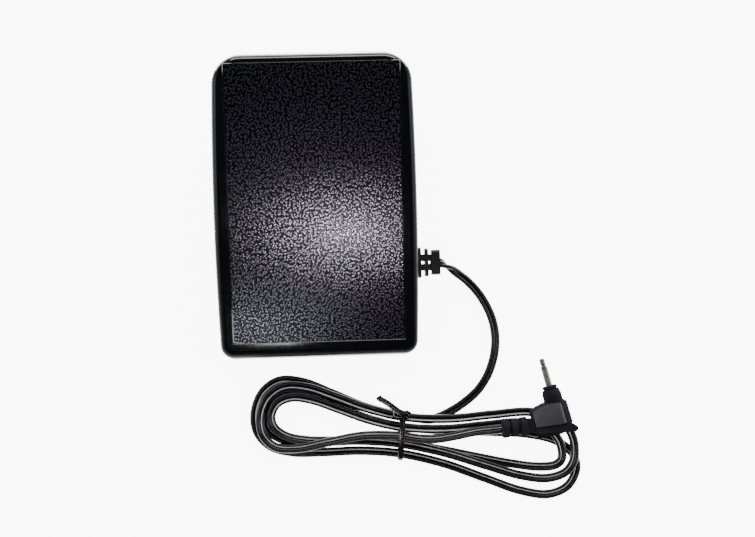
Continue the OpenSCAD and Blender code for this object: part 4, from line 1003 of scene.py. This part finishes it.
def strip_along(path, rolls, section, closed=False):
    """A strip swept along points of the hank's own frame; `rolls` turn it about its run."""
    sides = len(section)
    points = []
    count = len(path)
    for i, here in enumerate(path):
        before = path[i - 1 if closed else max(i - 1, 0)]
        after = path[(i + 1) % count if closed else min(i + 1, count - 1)]
        ahead = (Vector(after) - Vector(before)).normalized()
        across = Vector((1, 0, 0)) if closed else ahead.cross(Vector((0, 0, 1))).normalized()
        up = across.cross(ahead)
        angle = math.radians(rolls[i])
        a = across * math.cos(angle) + up * math.sin(angle)
        b = up * math.cos(angle) - across * math.sin(angle)
        points.extend(Vector(here) + a * x + b * y for x, y in section)
    faces = ring_faces(0, count, sides, closed)
    if not closed:
        end = (count - 1) * sides
        faces += [tuple(range(sides)), tuple(range(end, end + sides))]
    return points, faces


TIE_HALF = WAIST_OUT + CORD_WIDTH / 2 + TIE_GAP
TIE_SHOULDER = CORD_Z + TIE_LIFT + LAYER_PITCH + CORD_THICK / 2 + TIE_GAP
TIE_TOP = HANK_TOP + CORD_THICK / 2 + TIE_GAP


def tie_band():
    """The strip's loop round the waist, standing a little off the strands on each side."""
    out = TIE_THICK / 2
    corners = [
        (-TIE_HALF - out, 0.36), (TIE_HALF + out, 0.36), (TIE_HALF + out, TIE_SHOULDER + out / 2),
        (3.7, TIE_TOP + out), (-3.7, TIE_TOP + out), (-TIE_HALF - out, TIE_SHOULDER + out / 2),
    ]
    outline = rounded_polygon(corners, 2.2, 6)
    loop = [(mix(1.6, -0.4, (y + TIE_HALF) / (2 * TIE_HALF)), y, z) for y, z in outline]
    return strip_along(loop, [0] * len(loop), tie_section(), closed=True)


def tie_twist(start, end, phase, turns=1.75, radius=0.75):
    """One of the two strands of the knot, wound about the line from start to end."""
    path, rolls = [], []
    for k in range(29):
        t = k / 28
        x, z = polar(radius, 360 * turns * t + phase)
        middle = Vector(start).lerp(Vector(end), t)
        path.append(middle + Vector((x, 0, z * 0.7)))
        rolls.append(360 * turns * t + phase)
    return strip_along(path, rolls, tie_section(2.1, 0.55, 0.95))


def make_tie():
    knot_z = TIE_SHOULDER + 0.9
    start, end = (-0.2, 7.6, knot_z + 0.6), (2.1, 12.9, knot_z + 0.3)
    tail = catmull([
        (1.8, 12.4, knot_z + 0.7), (0.2, 11.4, knot_z + 1.5), (-2, 11.9, knot_z + 1.3),
        (-4.8, 13.2, knot_z + 1), (-7.6, 14.8, knot_z + 0.8), (-10.8, 16.3, knot_z + 0.7),
        (-13.4, 17.3, knot_z + 0.5), (-14.2, 18.2, knot_z + 0.3),
    ], 0.5)
    curl = catmull([
        (1.2, 9.6, knot_z + 0.9), (-1.4, 8.6, knot_z + 1.1), (-4.2, 8.7, knot_z + 0.9),
        (-5.3, 10.3, knot_z + 0.8), (-4.7, 12.6, knot_z + 0.8),
    ], 0.5)
    tail_rolls = [mix(35, 0, eased(k / 12)) for k in range(len(tail))]
    curl_rolls = [mix(40, 75, k / (len(curl) - 1)) for k in range(len(curl))]
    parts = [
        tie_band(), tie_twist(start, end, 0), tie_twist(start, end, 180),
        strip_along(tail, tail_rolls, tie_section(3.0)),
        strip_along(curl, curl_rolls, tie_section(2.1, 0.5, 0.85)),
    ]
    points, faces = joined(*parts)
    laid = [hank_point(*p) for p in points]
    return piece("tie", laid, faces, "tie_plastic", "base", ("twist_tie",), sharp=45)


tie = make_tie()


# ---------------------------------------------------------------- springs and wires
SPRING_RADIUS = 6.2
SPRING_TOP_RADIUS = 4.9
SPRING_TAPER = (24, 28)
SPRING_WIRE = 1.3
SPRING_TURNS = 7
SPRING_X = 28
SPRING_Y = HALF_L - 31.5


def make_spring(node, name):
    """Compression spring with closed ends, drawn in at the top, where the cover's cup swings over it."""
    x0 = -SPRING_X if node.endswith("left") else SPRING_X
    low, high = (Vector(v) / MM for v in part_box(node))
    z0, z1 = low.z + SPRING_WIRE / 2, high.z - SPRING_WIRE / 2
    end_pitch = SPRING_WIRE + 0.5
    path = []
    for k in range(SPRING_TURNS * 40 + 1):
        turn = k / 40
        if turn <= 1:
            z = z0 + end_pitch * turn
        elif turn >= SPRING_TURNS - 1:
            z = z1 - end_pitch * (SPRING_TURNS - turn)
        else:
            z = mix(z0 + end_pitch, z1 - end_pitch, (turn - 1) / (SPRING_TURNS - 2))
        drawn = clamp((z - SPRING_TAPER[0]) / (SPRING_TAPER[1] - SPRING_TAPER[0]))
        x, y = polar(mix(SPRING_RADIUS, SPRING_TOP_RADIUS, drawn), 360 * turn)
        path.append(Vector((x0 + x, SPRING_Y + y, z)))
    section = [polar(SPRING_WIRE / 2 * 0.98, 360 * k / 12) for k in range(12)]
    made = swept(name, path, section, "spring_steel", "base", (node,))
    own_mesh(made)


for spring in ("return_spring_left", "return_spring_right"):
    make_spring(spring, spring.replace("return_", "coil_"))


WIRE_RADIUS = 0.6
WIRE_Z = 10.2
INNER_END = 30.54
LUG_X = 22.8
LUG_Y = 21.83
LUG_GAP = 4


def inner_wire(name, route, node):
    """A smooth round lead through the points of its route."""
    section = [polar(WIRE_RADIUS, 360 * k / 12) for k in range(12)]
    return swept(name, catmull(route, 0.7), section, "wire_red", "base", (node,))


def make_inner_wires():
    """The cord's two cores to the board, and the board's two leads to the control's lugs."""
    x0, y0, z0 = INNER_END, EXIT_Y, EXIT[2]
    for name, s in (("core_wire_one", -1), ("core_wire_two", 1)):
        inner_wire(name, [
            (x0, y0 + s * CORD_WIDTH / 4, z0), (x0 - 1.5, y0 + s * CORD_WIDTH / 4, z0),
            (x0 - 4.5 + s, -27.5 + s, WIRE_Z - 0.3), (23 + 1.6 * s, -24, WIRE_Z), (23 + 1.6 * s, -18, WIRE_Z),
        ], "lead_wires")
    lugs = (("lug_wire_one", 21.8, 0, 0, LUG_Y - LUG_GAP), ("lug_wire_two", 19.8, -1, 1.5, LUG_Y))
    for name, start, lean, rise, end in lugs:
        inner_wire(name, [
            (start, -8, WIRE_Z), (start, -3, WIRE_Z), (LUG_X + lean, 2, WIRE_Z + rise * 0.6),
            (LUG_X, 7, WIRE_Z + rise), (LUG_X, end, WIRE_Z + rise),
        ], "pot_wires")


make_inner_wires()


# ---------------------------------------------------------------- carried-over nodes
for subpart in frame["record"]["subparts"]:
    node = NODES[subpart["node"]]
    paint(node, MATERIALS[subpart["material_slot"]])


# ---------------------------------------------------------------- floor and light
FLOOR_GLOW = 8
FLOOR_HALF = 3.0


def make_floor():
    mesh = bpy.data.meshes.new("floor")
    corners = [(x * FLOOR_HALF, y * FLOOR_HALF, 0) for x, y in ((-1, -1), (1, -1), (1, 1), (-1, 1))]
    mesh.from_pydata(corners, [], [(0, 1, 2, 3)])
    floor = bpy.data.objects.new("floor", mesh)
    bpy.context.scene.collection.objects.link(floor)
    made, tree, shader = blank_material("floor")
    cloud = noise_field(tree, object_coordinates(tree), 3, 3)
    pale = ramp(tree, cloud, (0.3, (0.86, 0.86, 0.86)), (0.7, (0.9, 0.9, 0.9)))
    tree.links.new(pale, shader.inputs["Base Color"])
    shader.inputs["Roughness"].default_value = 0.9
    shader.inputs["Specular IOR Level"].default_value = 0.1
    shader.inputs["Emission Strength"].default_value = FLOOR_GLOW
    paint(floor, made)


def make_light(name, at, aim, size, power, color=(1, 1, 1)):
    data = bpy.data.lights.new(name, "AREA")
    data.shape = "RECTANGLE"
    data.size, data.size_y = size[0] * MM, size[1] * MM
    data.energy = power
    data.color = color
    lamp = bpy.data.objects.new(name, data)
    bpy.context.scene.collection.objects.link(lamp)
    lamp.location = Vector(at) * MM
    lamp.rotation_euler = (Vector(at) - Vector(aim)).to_track_quat("Z", "Y").to_euler()


def make_world(color, strength):
    world = bpy.data.worlds.new("room")
    bpy.context.scene.world = world
    world.use_nodes = True
    background = world.node_tree.nodes["Background"]
    background.inputs["Color"].default_value = (*color, 1)
    background.inputs["Strength"].default_value = strength


make_floor()
make_world((0.9, 0.92, 1.0), 0.1)
make_light("toe_window", (60, 1150, 620), (30, 0, 0), (1100, 420), 30)
make_light("side_left", (-1150, 120, 560), (30, -40, 0), (700, 420), 22)
make_light("side_right", (1200, 80, 560), (30, -40, 0), (700, 420), 22)
make_light("flash", (19, -156, 560), (19, -14, 32), (20, 20), 1.25, (1.0, 0.9, 0.92))
make_light("ceiling", (-72, -95, 900), (-20, 0, 34), (105, 310), 0.1, (0.88, 0.86, 1.0))
make_light("heel_window", (-73, -342, 560), (-29, -62, 22), (60, 60), 0.4, (0.95, 0.95, 1.0))
